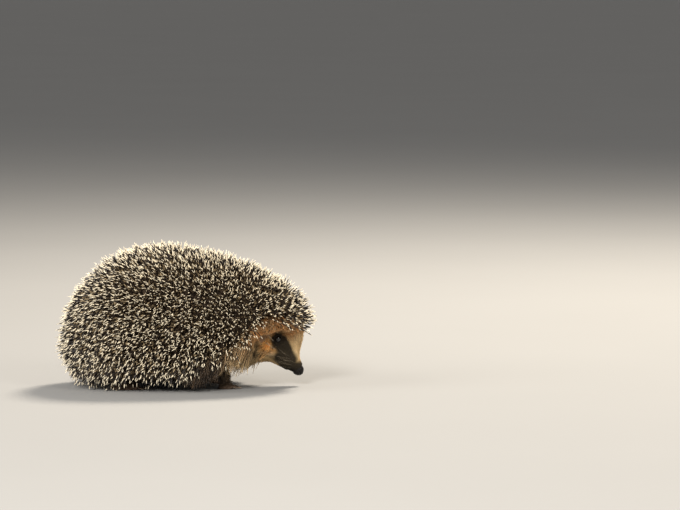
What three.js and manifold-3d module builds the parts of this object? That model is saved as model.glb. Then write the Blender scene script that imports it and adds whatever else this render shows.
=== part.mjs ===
// A life-size hedgehog, standing with its back arched and its snout held low under the spiny brow.
// Millimetres. +X is forward, +Y is the animal's left, +Z is up. The origin is on the floor, under
// the middle of the body. The solids reach out to the tips of the spines and hair.
import * as THREE from "three";
import { mergeVertices } from "three/addons/utils/BufferGeometryUtils.js";
import Module from "manifold-3d";

// ---- Driving dimensions -------------------------------------------------------------------------

const GAP = 0.3; // clearance between touching pieces

// The spiny mantle, from the rump to the brow. Each outline runs between these landmarks.
const REAR = { x: -112.5, z: 40 }; // rearmost spine tips
const BROW = { x: 112.5, z: 60 }; // foremost spine tips, over the face
const CREST = { x: -25, z: 125.5 }; // highest spine tips
const WAIST = { x: -20, half: 67 }; // widest place, seen from above
const WIDEST_Z = 38; // height of the widest level along the trunk
const HEM_Z = 3.6; // how far down the spines and belly hair hang along the trunk
const CHEST_HEM_Z = 15; // the same under the chest, where the forelegs show
const HOOD_HEM_Z = 48; // lower edge of the spines over the face
const REAR_ROUND = 2.0; // superellipse powers of the outlines
const BROW_ROUND = 1.6;
const PLAN_REAR_ROUND = 2.2;
const PLAN_BROW_ROUND = 1.85;
const SECTION_ROUND = 2.1;
const HEM_ROUND = { trunk: 3.0, hood: 1.8 };
const REAR_HEM_X = -85; // where the hem starts to curl up under the rump
const CHEST_RISE = [5, 44]; // x range over which the hem rises to the chest
const THROAT_RISE = [54, 66]; // x range over which it rises from the chest to the hood
const HOOD_CURL_X = 101; // where the hood's lower edge starts to curl up to the brow
const WIDEST_RISE = [30, 112.5]; // x range over which the widest level rises to the brow

// Cuts across the mantle, from rear to front.
const RUMP_CUT_X = -58;
const SHOULDER_CUT_X = 8;
const NECK_CUT_X = 44;
const CROWN_CUT_X = 66;

// The belly is a shallow lens under the trunk.
const BELLY = { x: -22, z: 4, length: 74, half: 44, height: 23 };

// The head, in its own frame: +X down the muzzle, +Z to the top of the head, origin in the nose.
const NOSE_X = 97.6;
const NOSE_Z = 13.6;
const HEAD_PITCH = THREE.MathUtils.degToRad(50);
const HEAD_LENGTH = 62;
const MUZZLE_FRONT = 1.4; // distance behind the nose centre at which the muzzle ends
const HEAD_SQUARE = 0.95; // power of the head's nearly round sections
// Each outline starts at the nose, widens by a slope and swells by a rise between two distances.
const HEAD_TOP = { nose: 4.6, slope: 0.26, rise: 12, from: 8, to: 24 };
const HEAD_UNDER = { nose: 4.6, slope: 0.4, rise: 12, from: 20, to: 32 };
const HEAD_HALF = { nose: 4.4, slope: 0.3, rise: 6, from: 30, to: 52 };
const NOSE_RADII = [4.5, 4.4, 4.5];
const FACE_CUT = 22; // where the muzzle joins the face
const JAW_FRONT = 8;
const JAW_BACK = 28;
const MOUTH = { drop: 3.6, slope: 0.2 }; // the lip line, below the head's axis
const EYE = { back: 34.5, side: 14.3, up: 4.4, radius: 2.75 };
const EAR = { back: 40.5, side: 22, up: -3.4, height: 14, width: 11.5, depth: 6, wall: 1.1 };
const EAR_HOLLOW_SHIFT = 1.8; // how far the hollow is moved out of the ear's front
const EAR_YAW = THREE.MathUtils.degToRad(38); // turn of the cup away from straight ahead
const EAR_LEAN = THREE.MathUtils.degToRad(18); // lean of the ear's tip away from the head

// Limbs. The leg's two radii are at the ankle and inside the body, where its top leans forwards.
const ANKLE_Z = 6.8;
const FORE = {
  palm: [8.6, 5.6, 8.2],
  toe: { radius: 1.7, reach: 5.2, spread: 0.92 },
  claw: 4.2,
  leg: { radii: [5.2, 9.5], top: 34, lean: -3 },
};
const HIND = {
  palm: [15.5, 6.2, 8.8],
  toe: { radius: 1.8, reach: 5.6, spread: 0.72 },
  claw: 4.8,
  leg: { radii: [6.5, 14], top: 40, lean: 12 },
};
const FEET = [
  { name: "fore", side: "right", x: 34, y: -22, size: FORE },
  { name: "fore", side: "left", x: 25, y: 22, size: FORE },
  { name: "hind", side: "right", x: -54, y: -28, size: HIND },
  { name: "hind", side: "left", x: -60, y: 28, size: HIND },
];
const PALM_RISE = 0.12; // height of the palm's centre over the floor, in palm heights
const HEEL = 0.45; // place of the ankle behind the palm's centre, in palm lengths
const TOES = 5;
const TOE_STRETCH = 2.1; // length of a toe pad over its thickness
const TOE_ROOT = 0.62; // where the toes start, in palm lengths
const TOE_RISE = 0.8; // height of a toe's centre, in toe radii
const CLAW_RADIUS = 0.95;
const CLAW_DROOP = 0.22; // radians below level
const TAIL = { base: [-84, 0, 15], tip: [-104.5, 0, 8.2], radii: [4.6, 2.2] };

// Fineness of the meshes.
const MANTLE_RINGS = 24;
const MANTLE_SIDES = 30;
const HEAD_RINGS = 15;
const HEAD_SIDES = 18;
const LIMB_RINGS = 3;
const LIMB_SIDES = 12;
const END_FACET = 0.02; // the mantle's two ends are small facets this far from a point
const LENS_FACETS = [20, 8];
const PALM_FACETS = [12, 8];
const NOSE_FACETS = [14, 10];
const EYE_FACETS = [12, 8];
const EAR_FACETS = [12, 8];
const TOE_FACETS = [6, 4];
const CLAW_SIDES = 4;
const TAIL_FACETS = [6, 12];

const FINISH = {
  back: { color: 0x6b5f4c, roughness: 0.9 },
  flank: { color: 0x57493a, roughness: 0.9 },
  hair: { color: 0x71593e, roughness: 0.9 },
  mask: { color: 0x4a3b2c, roughness: 0.9 },
  skin: { color: 0x3a2c22, roughness: 0.75 },
  nose: { color: 0x14100e, roughness: 0.3 },
  eye: { color: 0x0a0807, roughness: 0.08 },
};

// ---- Small tools --------------------------------------------------------------------------------

const wasm = await Module();
wasm.setup();

const { lerp, smoothstep } = THREE.MathUtils;

/** Height above a superellipse's axis at t, for t from 0 (the middle) to 1 (the end). */
const arc = (t, power) => Math.pow(Math.max(1 - Math.pow(Math.abs(t), power), 0), 1 / power);

/** Signed power, for the corners of a superellipse. */
const bend = (value, power) => Math.sign(value) * Math.pow(Math.abs(value), power);

/** A closed skin through rings of points, with a fan over each end. */
class LoftGeometry extends THREE.BufferGeometry {
  constructor(ringAt, rings, sides) {
    super();
    const points = [];
    for (let i = 0; i <= rings; i++) {
      for (let j = 0; j < sides; j++) points.push(ringAt(i / rings, (j / sides) * 2 * Math.PI));
    }
    const centre = (start) => {
      const sum = new THREE.Vector3();
      for (let j = 0; j < sides; j++) sum.add(points[start + j]);
      return sum.divideScalar(sides);
    };
    const last = rings * sides;
    const faces = [];
    for (let i = 0; i < rings; i++) {
      for (let j = 0; j < sides; j++) {
        const here = i * sides + j;
        const next = i * sides + ((j + 1) % sides);
        faces.push(here, next, next + sides, here, next + sides, here + sides);
      }
    }
    points.push(centre(0), centre(last));
    for (let j = 0; j < sides; j++) {
      const next = (j + 1) % sides;
      faces.push(points.length - 2, next, j, points.length - 1, last + j, last + next);
    }
    this.setFromPoints(points);
    this.setIndex(faces);
  }
}

/** A geometry as a solid that can be joined and cut. */
function solid(geometry) {
  const bare = geometry.clone();
  bare.deleteAttribute("normal");
  bare.deleteAttribute("uv");
  const merged = mergeVertices(bare, 1e-4);
  const mesh = new wasm.Mesh({
    numProp: 3,
    vertProperties: new Float32Array(merged.attributes.position.array),
    triVerts: new Uint32Array(merged.index.array),
  });
  return new wasm.Manifold(mesh);
}

/** A solid as a three.js geometry again. */
function geometryOf(body) {
  const { vertProperties, triVerts } = body.getMesh();
  const geometry = new THREE.BufferGeometry();
  geometry.setAttribute("position", new THREE.BufferAttribute(vertProperties, 3));
  geometry.setIndex(new THREE.BufferAttribute(triVerts, 1));
  geometry.computeVertexNormals();
  return geometry;
}

/** A box between two corners, as a cutter. */
function block([x0, y0, z0], [x1, y1, z1]) {
  const box = new THREE.BoxGeometry(x1 - x0, y1 - y0, z1 - z0);
  return solid(box.translate((x0 + x1) / 2, (y0 + y1) / 2, (z0 + z1) / 2));
}

const FAR = 400; // past everything

/** The slice of space between two planes across X. */
const slice = (x0, x1) => block([x0 + GAP / 2, -FAR, -FAR], [x1 - GAP / 2, FAR, FAR]);

/** An egg with the given radii about a centre. */
function egg(radii, centre, facets) {
  const ball = new THREE.SphereGeometry(1, ...facets).rotateX(Math.PI / 2);
  return solid(ball.scale(...radii).translate(...centre));
}

/** A named mesh with its own finish. */
function part(name, body, finish) {
  const material = new THREE.MeshStandardMaterial({ ...finish, metalness: 0 });
  const mesh = new THREE.Mesh(geometryOf(body), material);
  mesh.name = name;
  return mesh;
}

// ---- The mantle: rump, back, shoulders, neck and crown ------------------------------------------

/** Height of the spine tips along the back. */
function crestHeight(x) {
  return x < CREST.x
    ? lerp(REAR.z, CREST.z, arc((CREST.x - x) / (CREST.x - REAR.x), REAR_ROUND))
    : lerp(BROW.z, CREST.z, arc((x - CREST.x) / (BROW.x - CREST.x), BROW_ROUND));
}

/** Half of the width, seen from above. */
function halfWidth(x) {
  return x < WAIST.x
    ? WAIST.half * arc((WAIST.x - x) / (WAIST.x - REAR.x), PLAN_REAR_ROUND)
    : WAIST.half * arc((x - WAIST.x) / (BROW.x - WAIST.x), PLAN_BROW_ROUND);
}

/** Height of the widest level. */
function widestHeight(x) {
  const trunk = lerp(REAR.z, WIDEST_Z, smoothstep(x, REAR.x, REAR_HEM_X));
  return lerp(trunk, BROW.z, smoothstep(x, ...WIDEST_RISE));
}

/** Height of the lower edge of the coat. */
function hemHeight(x) {
  if (x < REAR_HEM_X) return lerp(widestHeight(x), HEM_Z, arc((REAR_HEM_X - x) / (REAR_HEM_X - REAR.x), 2));
  const chest = lerp(HEM_Z, CHEST_HEM_Z, smoothstep(x, ...CHEST_RISE));
  const hood = lerp(chest, HOOD_HEM_Z, smoothstep(x, ...THROAT_RISE));
  const curl = arc(Math.max(x - HOOD_CURL_X, 0) / (BROW.x - HOOD_CURL_X), 2);
  return Math.min(lerp(widestHeight(x), hood, curl), widestHeight(x));
}

/** The mantle as one body. */
function mantle() {
  const ringAt = (t, angle) => {
    const x = lerp(REAR.x, BROW.x, (1 - Math.cos(Math.PI * t)) / 2);
    const section = THREE.MathUtils.clamp(x, REAR.x + END_FACET, BROW.x - END_FACET);
    const mid = widestHeight(section);
    const rise = Math.sin(angle);
    const hemPower = lerp(HEM_ROUND.trunk, HEM_ROUND.hood, smoothstep(section, ...CHEST_RISE));
    const power = rise > 0 ? SECTION_ROUND : hemPower;
    const reach = rise > 0 ? crestHeight(section) - mid : mid - hemHeight(section);
    const out = bend(Math.cos(angle), 2 / power) * halfWidth(section);
    return new THREE.Vector3(x, out, mid + bend(rise, 2 / power) * reach);
  };
  return solid(new LoftGeometry(ringAt, MANTLE_RINGS, MANTLE_SIDES));
}

// ---- The head -----------------------------------------------------------------------------------

/** Distance of one of the head's outlines from its axis, at a distance behind the nose. */
function outline({ nose, slope, rise, from, to }, back) {
  return nose + slope * back + rise * smoothstep(back, from, to);
}

/** The whole head in its own frame, grown by a clearance. */
function wholeHead(clearance) {
  const ringAt = (t, angle) => {
    const back = lerp(HEAD_LENGTH, MUZZLE_FRONT, Math.sqrt(t));
    const rise = Math.sin(angle);
    const reach = outline(rise > 0 ? HEAD_TOP : HEAD_UNDER, back) + clearance;
    const out = bend(Math.cos(angle), HEAD_SQUARE) * (outline(HEAD_HALF, back) + clearance);
    return new THREE.Vector3(-back, out, bend(rise, HEAD_SQUARE) * reach);
  };
  return solid(new LoftGeometry(ringAt, HEAD_RINGS, HEAD_SIDES));
}

/** Everything under the lip line, lowered by a clearance. */
function underLip(clearance) {
  const slab = new THREE.BoxGeometry(2 * FAR, FAR, FAR).translate(0, 0, -FAR / 2);
  slab.rotateY(-Math.atan(MOUTH.slope));
  return solid(slab.translate(0, 0, -MOUTH.drop - clearance));
}

/** One cupped ear, opening forwards and outwards, in the head's frame. */
function ear(sign, head) {
  const cup = new THREE.Matrix4().makeRotationZ(sign * EAR_YAW);
  const lean = new THREE.Matrix4().makeRotationX(-sign * EAR_LEAN);
  const upright = new THREE.Matrix4().makeRotationY(-HEAD_PITCH);
  const place = new THREE.Matrix4().makeTranslation(-EAR.back, sign * EAR.side, EAR.up);
  place.multiply(upright).multiply(lean).multiply(cup);
  const radii = [EAR.depth / 2, EAR.width / 2, EAR.height / 2];
  const inner = [radii[0], radii[1] - EAR.wall, radii[2] - EAR.wall];
  const shell = egg(radii, [0, 0, 0], EAR_FACETS).subtract(egg(inner, [EAR_HOLLOW_SHIFT, 0, 0], EAR_FACETS));
  return shell.transform(place.elements).subtract(head);
}

// ---- Legs, feet and tail ------------------------------------------------------------------------

/** A limb of round sections between two points. */
function limb([x0, y0, z0], [x1, y1, z1], radii, clearance = 0) {
  const ringAt = (t, angle) => {
    const radius = lerp(radii[0], radii[1], t) + clearance;
    const x = lerp(x0, x1, t) + radius * Math.cos(angle);
    return new THREE.Vector3(x, lerp(y0, y1, t) + radius * Math.sin(angle), lerp(z0, z1, t));
  };
  return solid(new LoftGeometry(ringAt, LIMB_RINGS, LIMB_SIDES));
}

/** The leg above its ankle, in the foot's frame, grown by a clearance. */
function leg({ palm, leg: { radii, top, lean } }, clearance = 0) {
  const heel = -palm[0] * HEEL;
  const ankle = [heel, 0, ANKLE_Z + GAP / 2 - clearance];
  return limb(ankle, [heel + lean, 0, top + clearance], radii, clearance);
}

/** The pad of the foot, grown by a clearance. */
function pad({ palm }, clearance = 0) {
  return egg(palm.map((radius) => radius + clearance), [0, 0, palm[2] * PALM_RISE], PALM_FACETS);
}

/** A foot on its flat sole, with its toes and claws, in its own frame. */
function foot(size) {
  const { palm, toe, claw } = size;
  const toeZ = toe.radius * TOE_RISE;
  let body = pad(size);
  for (let i = 0; i < TOES; i++) {
    const turn = toe.spread * (i / (TOES - 1) - 0.5);
    const tip = palm[0] * TOE_ROOT + toe.reach * Math.cos(2 * turn) + toe.radius;
    const digit = new THREE.SphereGeometry(toe.radius, ...TOE_FACETS).scale(TOE_STRETCH, 1, 1);
    digit.translate(tip - toe.radius * TOE_STRETCH, 0, toeZ);
    const nail = new THREE.ConeGeometry(CLAW_RADIUS, claw, CLAW_SIDES);
    nail.rotateZ(-Math.PI / 2 - CLAW_DROOP).translate(tip + claw * 0.3, 0, toeZ);
    for (const piece of [digit, nail]) body = body.add(solid(piece.rotateZ(turn)));
  }
  return body.intersect(block([-FAR, -FAR, 0], [FAR, FAR, ANKLE_Z - GAP / 2]));
}

/** The short tail, grown by a clearance. It tapers backwards under the rump. */
function tail(clearance = 0) {
  const base = new THREE.Vector3(...TAIL.base);
  const along = new THREE.Vector3(...TAIL.tip).sub(base);
  const upright = new THREE.Vector3(0, 0, 1);
  const turn = new THREE.Quaternion().setFromUnitVectors(upright, along.clone().normalize());
  const ringAt = (t, angle) => {
    const radius = lerp(...TAIL.radii, t) * arc(t * 0.99, 6) + clearance;
    const point = new THREE.Vector3(radius * Math.cos(angle), radius * Math.sin(angle), t * along.length());
    return point.applyQuaternion(turn).add(base);
  };
  return solid(new LoftGeometry(ringAt, ...TAIL_FACETS));
}

// ---- Cutting the body into its parts ------------------------------------------------------------

const headGroup = new THREE.Group();
headGroup.position.set(NOSE_X, 0, NOSE_Z);
headGroup.rotation.y = HEAD_PITCH;
headGroup.updateMatrixWorld();
const intoHead = headGroup.matrixWorld.clone().invert();

const hedgehog = new THREE.Group();
hedgehog.name = "hedgehog";
hedgehog.add(headGroup);

const POCKET_EASE = 1.4; // facets cut corners, so curved pockets are grown by a little more

// What stands inside the trunk and keeps its clearance there.
let pockets = tail(GAP);
for (const { x, y, size } of FEET) {
  pockets = pockets.add(leg(size, GAP).translate([x, y, 0]));
  pockets = pockets.add(pad(size, GAP * POCKET_EASE).translate([x, y, 0]));
}

const bellyRadii = [BELLY.length, BELLY.half, BELLY.height];
const bellyCentre = [BELLY.x, 0, BELLY.z];
const lens = egg(bellyRadii, bellyCentre, LENS_FACETS);
const lensPocket = egg(bellyRadii.map((radius) => radius + GAP * POCKET_EASE), bellyCentre, LENS_FACETS);
const whole = mantle();
const spined = whole.subtract(pockets).subtract(lensPocket);

hedgehog.add(
  part("trunk_rump", spined.intersect(slice(-FAR, RUMP_CUT_X)), FINISH.flank),
  part("trunk_back", spined.intersect(slice(RUMP_CUT_X, SHOULDER_CUT_X)), FINISH.back),
  part("trunk_shoulders", spined.intersect(slice(SHOULDER_CUT_X, NECK_CUT_X)), FINISH.back),
  part("neck", spined.intersect(slice(NECK_CUT_X, CROWN_CUT_X)), FINISH.hair),
  part("head_crown", spined.intersect(slice(CROWN_CUT_X, FAR)), FINISH.back),
  part("belly", lens.intersect(whole).subtract(pockets), FINISH.hair),
  part("tail", tail(), FINISH.mask),
);

for (const { name, side, x, y, size } of FEET) {
  const limbGroup = new THREE.Group();
  limbGroup.position.set(x, y, 0);
  limbGroup.add(part(`${name}leg_${side}`, leg(size), FINISH.mask));
  limbGroup.add(part(`${name}foot_${side}`, foot(size), FINISH.skin));
  hedgehog.add(limbGroup);
}

// The head is cut clear of the mantle, then at the lips and across the muzzle.
const shift = GAP * POCKET_EASE;
const hood = whole.add(whole.translate([shift, 0, -shift])).transform(intoHead.elements);
const skull = wholeHead(0).subtract(hood);
const chin = underLip(0).intersect(slice(-JAW_BACK - GAP / 2, FAR));
const jaw = skull.intersect(underLip(GAP)).intersect(slice(-JAW_BACK, -JAW_FRONT));
const muzzle = skull.intersect(slice(-FACE_CUT, FAR)).subtract(underLip(0));
let face = skull.intersect(slice(-FAR, -FACE_CUT)).subtract(chin);
const nose = egg(NOSE_RADII, [0, 0, 0], NOSE_FACETS).intersect(slice(-MUZZLE_FRONT + GAP, FAR));

headGroup.add(
  part("muzzle", muzzle, FINISH.mask),
  part("lower_jaw", jaw, FINISH.hair),
  part("nose", nose, FINISH.nose),
);

const earPocket = wholeHead(GAP);
for (const [side, sign] of [["left", 1], ["right", -1]]) {
  const place = [-EYE.back, sign * EYE.side, EYE.up];
  const ball = (radius) => egg([radius, radius, radius], place, EYE_FACETS);
  headGroup.add(part(`eye_${side}`, ball(EYE.radius), FINISH.eye));
  face = face.subtract(ball(EYE.radius + GAP));
  headGroup.add(part(`ear_${side}`, ear(sign, earPocket).subtract(hood), FINISH.skin));
}
headGroup.add(part("face", face, FINISH.mask));

export default hedgehog;
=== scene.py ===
"""A life-size hedgehog: one skin, spines, hair, eyes, nose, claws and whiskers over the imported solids."""

import logging
import math
from collections.abc import Callable, Sequence
from dataclasses import dataclass, field
from enum import Enum

import bmesh
import bpy
import numpy as np
from mathutils import Matrix, Vector


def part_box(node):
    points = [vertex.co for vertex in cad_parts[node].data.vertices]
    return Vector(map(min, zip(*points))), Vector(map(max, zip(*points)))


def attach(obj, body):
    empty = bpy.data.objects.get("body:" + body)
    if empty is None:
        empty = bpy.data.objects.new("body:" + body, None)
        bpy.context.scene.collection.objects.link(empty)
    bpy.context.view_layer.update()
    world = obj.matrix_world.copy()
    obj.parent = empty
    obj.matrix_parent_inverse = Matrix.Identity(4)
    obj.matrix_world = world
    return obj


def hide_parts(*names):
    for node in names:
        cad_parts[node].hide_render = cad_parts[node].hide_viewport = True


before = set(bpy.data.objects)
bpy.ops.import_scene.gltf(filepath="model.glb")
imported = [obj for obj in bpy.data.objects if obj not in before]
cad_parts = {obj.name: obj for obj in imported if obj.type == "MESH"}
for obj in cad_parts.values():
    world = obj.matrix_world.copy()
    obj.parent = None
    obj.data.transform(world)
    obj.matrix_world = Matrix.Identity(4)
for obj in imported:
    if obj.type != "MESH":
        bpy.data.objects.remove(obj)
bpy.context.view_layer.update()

LOG = logging.getLogger("hedgehog")
BODY = "root"
MM = 0.001
SIDES = {"left": 1.0, "right": -1.0}
FLOOR_CLEARANCE = 0.5 * MM
SOLE_CLEARANCE = FLOOR_CLEARANCE * 0.2
BAKE_MAP = "OFBake"
STRAND_MAP = "Strand"
# Where each region of spines starts and ends along the body, in metres.
SPINE_REGIONS = {"rump": (-1, -0.058), "back": (-0.058, -0.012), "shoulders": (-0.012, 0.044),
                 "crown": (0.044, 1)}
CLAW_KNOTS = 9
CLAW_SIDES = 8
Array = np.ndarray
Colour = tuple[float, float, float]
Place = tuple[float, float, float]


# ---- Numbers over many points --------------------------------------------------------------------


def smooth(value: Array | float, low: float, high: float) -> Array:
    """Eased step from 0 at low to 1 at high."""
    t = np.clip((np.asarray(value, float) - low) / (high - low), 0.0, 1.0)
    return t * t * (3 - 2 * t)


def arc(t: Array | float, power: float) -> Array:
    """Height of a superellipse's quarter at t from 0, its middle, to 1, its end."""
    return np.maximum(1 - np.abs(np.clip(t, -1, 1)) ** power, 0.0) ** (1 / power)


def bend(value: Array | float, power: float) -> Array:
    """Signed power, which squares or pinches a round section."""
    return np.sign(value) * np.abs(value) ** power


def bump_at(distance: Array, width: float) -> Array:
    """Soft bell of the given width round a distance of 0."""
    return np.exp(-((distance / width) ** 2))


def unit(vectors: Array) -> Array:
    """Vectors at length 1."""
    return vectors / np.maximum(np.linalg.norm(vectors, axis=-1, keepdims=True), 1e-9)


def full_turn(count: int) -> Array:
    """Angles of a number of places round a circle."""
    return np.linspace(0, 2 * math.pi, count, endpoint=False)


def blend(a: Array | float, b: Array | float, weight: Array) -> Array:
    """Mix of two fields, with the weight's shape widened to fit vectors.

    Args:
        a: Value where the weight is 0.
        b: Value where the weight is 1.
        weight: Weight of each point.

    Returns:
        The mix for each point.
    """
    if np.ndim(a) > 1 or np.ndim(b) > 1 or (np.ndim(b) == 1 and np.shape(b) != np.shape(weight)):
        weight = weight[:, None]
    return np.asarray(a) * (1 - weight) + np.asarray(b) * weight


# ---- Meshes ----------------------------------------------------------------------------------------


@dataclass
class Shell:
    """Closed mesh data that can be gathered, turned and made into a Blender mesh."""

    points: Array
    faces: list[tuple[int, ...]]

    @staticmethod
    def loft(rings: Array) -> "Shell":
        """Skin through rings of points, closed by a fan at each end.

        Args:
            rings: Points by ring, by place round the ring, by axis.

        Returns:
            The closed shell.
        """
        count, around = rings.shape[:2]
        here = np.arange(count - 1)[:, None] * around + np.arange(around)[None, :]
        after = np.arange(count - 1)[:, None] * around + (np.arange(around)[None, :] + 1) % around
        quads = np.stack([here, after, after + around, here + around], -1).reshape(-1, 4)
        points = np.vstack([rings.reshape(-1, 3), rings[0].mean(0), rings[-1].mean(0)])
        faces = [tuple(q) for q in quads.tolist()]
        last = (count - 1) * around
        for j in range(around):
            k = (j + 1) % around
            faces += [(count * around, k, j), (count * around + 1, last + j, last + k)]
        return Shell(points, faces)

    @staticmethod
    def tube(path: Array, radii: Array, sides: int, flat: float = 1.0) -> "Shell":
        """Round tube along a path, closed by a point at each end of the path.

        Args:
            path: Points along the middle.
            radii: Radius at each point but the two ends, where it isn't read.
            sides: Number of sides.
            flat: Thickness of the section over its width.

        Returns:
            The closed shell.
        """
        along = unit(np.gradient(path, axis=0))
        lead = np.array([0.0, 1.0, 0.0]) if abs(along[0][1]) < 0.9 else np.array([1.0, 0.0, 0.0])
        across = unit(np.cross(np.cross(along, lead), along))
        up = np.cross(along, across)
        turn = full_turn(sides)
        ring = across[:, None] * np.cos(turn)[:, None] + up[:, None] * np.sin(turn)[:, None] * flat
        made = Shell.loft((path[:, None] + ring * np.asarray(radii)[:, None, None])[1:-1])
        made.points[-2:] = path[[0, -1]]
        return made

    @staticmethod
    def egg(radii: Sequence[float], centre: Sequence[float], across: int = 28,
            down: int = 18) -> "Shell":
        """Ball stretched to three radii about a centre.

        Args:
            radii: Radius along each axis.
            centre: Its middle.
            across: Points round it.
            down: Rings from pole to pole.

        Returns:
            The ball.
        """
        polar = np.linspace(0.02, math.pi - 0.02, down)
        turn = full_turn(across)
        ring = np.stack([np.cos(turn), np.sin(turn)], -1)
        height = np.tile(-np.cos(polar)[:, None], across)
        rings = np.dstack([np.sin(polar)[:, None, None] * ring[None], height])
        return Shell.loft(rings * np.asarray(radii) + np.asarray(centre))

    def moved(self, matrix: Matrix) -> "Shell":
        """The shell under a matrix."""
        m = np.array(matrix)
        return Shell(self.points @ m[:3, :3].T + m[:3, 3], self.faces)

    @staticmethod
    def gather(shells: Sequence["Shell"]) -> "Shell":
        """All shells as one.

        Args:
            shells: The shells.

        Returns:
            One shell with all their faces.
        """
        starts = np.cumsum([0] + [len(s.points) for s in shells])
        faces = [tuple(i + int(a) for i in f) for s, a in zip(shells, starts) for f in s.faces]
        return Shell(np.vstack([s.points for s in shells]), faces)

    def mesh(self, name: str) -> bpy.types.Mesh:
        """The shell as a smooth Blender mesh with its faces outwards.

        Args:
            name: The mesh's name.

        Returns:
            The mesh.
        """
        mesh = bpy.data.meshes.new(name)
        mesh.from_pydata(self.points.tolist(), [], self.faces)
        work = bmesh.new()
        work.from_mesh(mesh)
        bmesh.ops.recalc_face_normals(work, faces=work.faces)
        work.to_mesh(mesh)
        work.free()
        mesh.shade_smooth()
        return mesh


def place(name: str, mesh: bpy.types.Mesh) -> bpy.types.Object:
    """A mesh as an object in the scene, at the origin.

    Args:
        name: The object's name.
        mesh: Its mesh.

    Returns:
        The object.
    """
    piece = bpy.data.objects.new(name, mesh)
    bpy.context.scene.collection.objects.link(piece)
    return piece


def baked(piece: bpy.types.Object, name: str) -> bpy.types.Mesh:
    """The piece's evaluated mesh, after which its modifiers are removed.

    Args:
        piece: The object with its modifiers.
        name: The new mesh's name.

    Returns:
        The plain mesh.
    """
    graph = bpy.context.evaluated_depsgraph_get()
    graph.update()
    mesh = bpy.data.meshes.new_from_object(piece.evaluated_get(graph), depsgraph=graph)
    mesh.name = name
    piece.modifiers.clear()
    return mesh


def points_of(mesh: bpy.types.Mesh, normals: bool = False) -> Array:
    """Positions or normals of a mesh's vertices.

    Args:
        mesh: The mesh.
        normals: Whether the normals are wanted.

    Returns:
        A row of three numbers for each vertex.
    """
    flat = np.empty(len(mesh.vertices) * 3)
    if normals:
        mesh.vertex_normals.foreach_get("vector", flat)
    else:
        mesh.vertices.foreach_get("co", flat)
    return flat.reshape(-1, 3)


def move_points(mesh: bpy.types.Mesh, points: Array) -> None:
    """Puts a mesh's vertices at new places."""
    mesh.vertices.foreach_set("co", np.ascontiguousarray(points, np.float32).ravel())
    mesh.update()


def keep_above(mesh: bpy.types.Mesh, height: float) -> None:
    """Raises a mesh's vertices that lie under a height to it.

    Args:
        mesh: The mesh.
        height: The least height, in metres.
    """
    points = points_of(mesh)
    points[:, 2] = np.maximum(points[:, 2], height)
    move_points(mesh, points)


def store(mesh: bpy.types.Mesh, name: str, values: Array) -> None:
    """Keeps a number or a vector for each vertex as a named attribute.

    Args:
        mesh: The mesh.
        name: The attribute's name.
        values: A number or a vector for each vertex.
    """
    kind, slot = ("FLOAT", "value") if values.ndim == 1 else ("FLOAT_VECTOR", "vector")
    layer = mesh.attributes.new(name, kind, "POINT")
    layer.data.foreach_set(slot, np.ascontiguousarray(values, np.float32).ravel())


def finish_piece(piece: bpy.types.Object, material: bpy.types.Material, slot: str, *nodes: str) -> None:
    """Gives a piece its material and ties it to the body.

    Args:
        piece: The finished piece.
        material: Its finish.
        slot: The record's material slot, which is not used.
        nodes: The solids that it stands for.
    """
    piece.data.materials.clear()
    piece.data.materials.append(material)
    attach(piece, BODY)
    if nodes:
        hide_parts(*nodes)
    LOG.info("%s: %d faces", piece.name, len(piece.data.polygons))


# ---- Node trees ------------------------------------------------------------------------------------


class Val:
    """A socket with arithmetic. Each operation adds a Math node to its tree."""

    def __init__(self, graph: "Graph", socket: bpy.types.NodeSocket) -> None:
        """Wraps a socket of a graph."""
        self.graph = graph
        self.socket = socket

    def math(self, operation: str, *values: "Val | float", swap: bool = False) -> "Val":
        """This value and others through one Math node."""
        terms = [*values, self] if swap else [self, *values]
        return self.graph.node("ShaderNodeMath", {"operation": operation}, dict(enumerate(terms)))

    def __add__(self, other: "Val | float") -> "Val":
        """Sum."""
        return self.math("ADD", other)

    def __sub__(self, other: "Val | float") -> "Val":
        """Difference."""
        return self.math("SUBTRACT", other)

    def __rsub__(self, other: float) -> "Val":
        """Difference from a number."""
        return self.math("SUBTRACT", other, swap=True)

    def __mul__(self, other: "Val | float") -> "Val":
        """Product."""
        return self.math("MULTIPLY", other)

    __radd__ = __add__
    __rmul__ = __mul__

    def step(self, low: float, high: float) -> "Val":
        """Eased step from 0 at low to 1 at high, which may be the smaller."""
        ends = {"Value": self, "From Min": low, "From Max": high}
        return self.graph.node("ShaderNodeMapRange", {"interpolation_type": "SMOOTHSTEP"}, ends)

    def spread(self, low: float, high: float) -> "Val":
        """A value from 0 to 1 spread over another range."""
        return self * (high - low) + low

    def most(self, other: "Val | float") -> "Val":
        """The larger of two."""
        return self.math("MAXIMUM", other)

    def fraction(self) -> "Val":
        """What is left over the whole number."""
        return self.math("FRACT")


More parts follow.
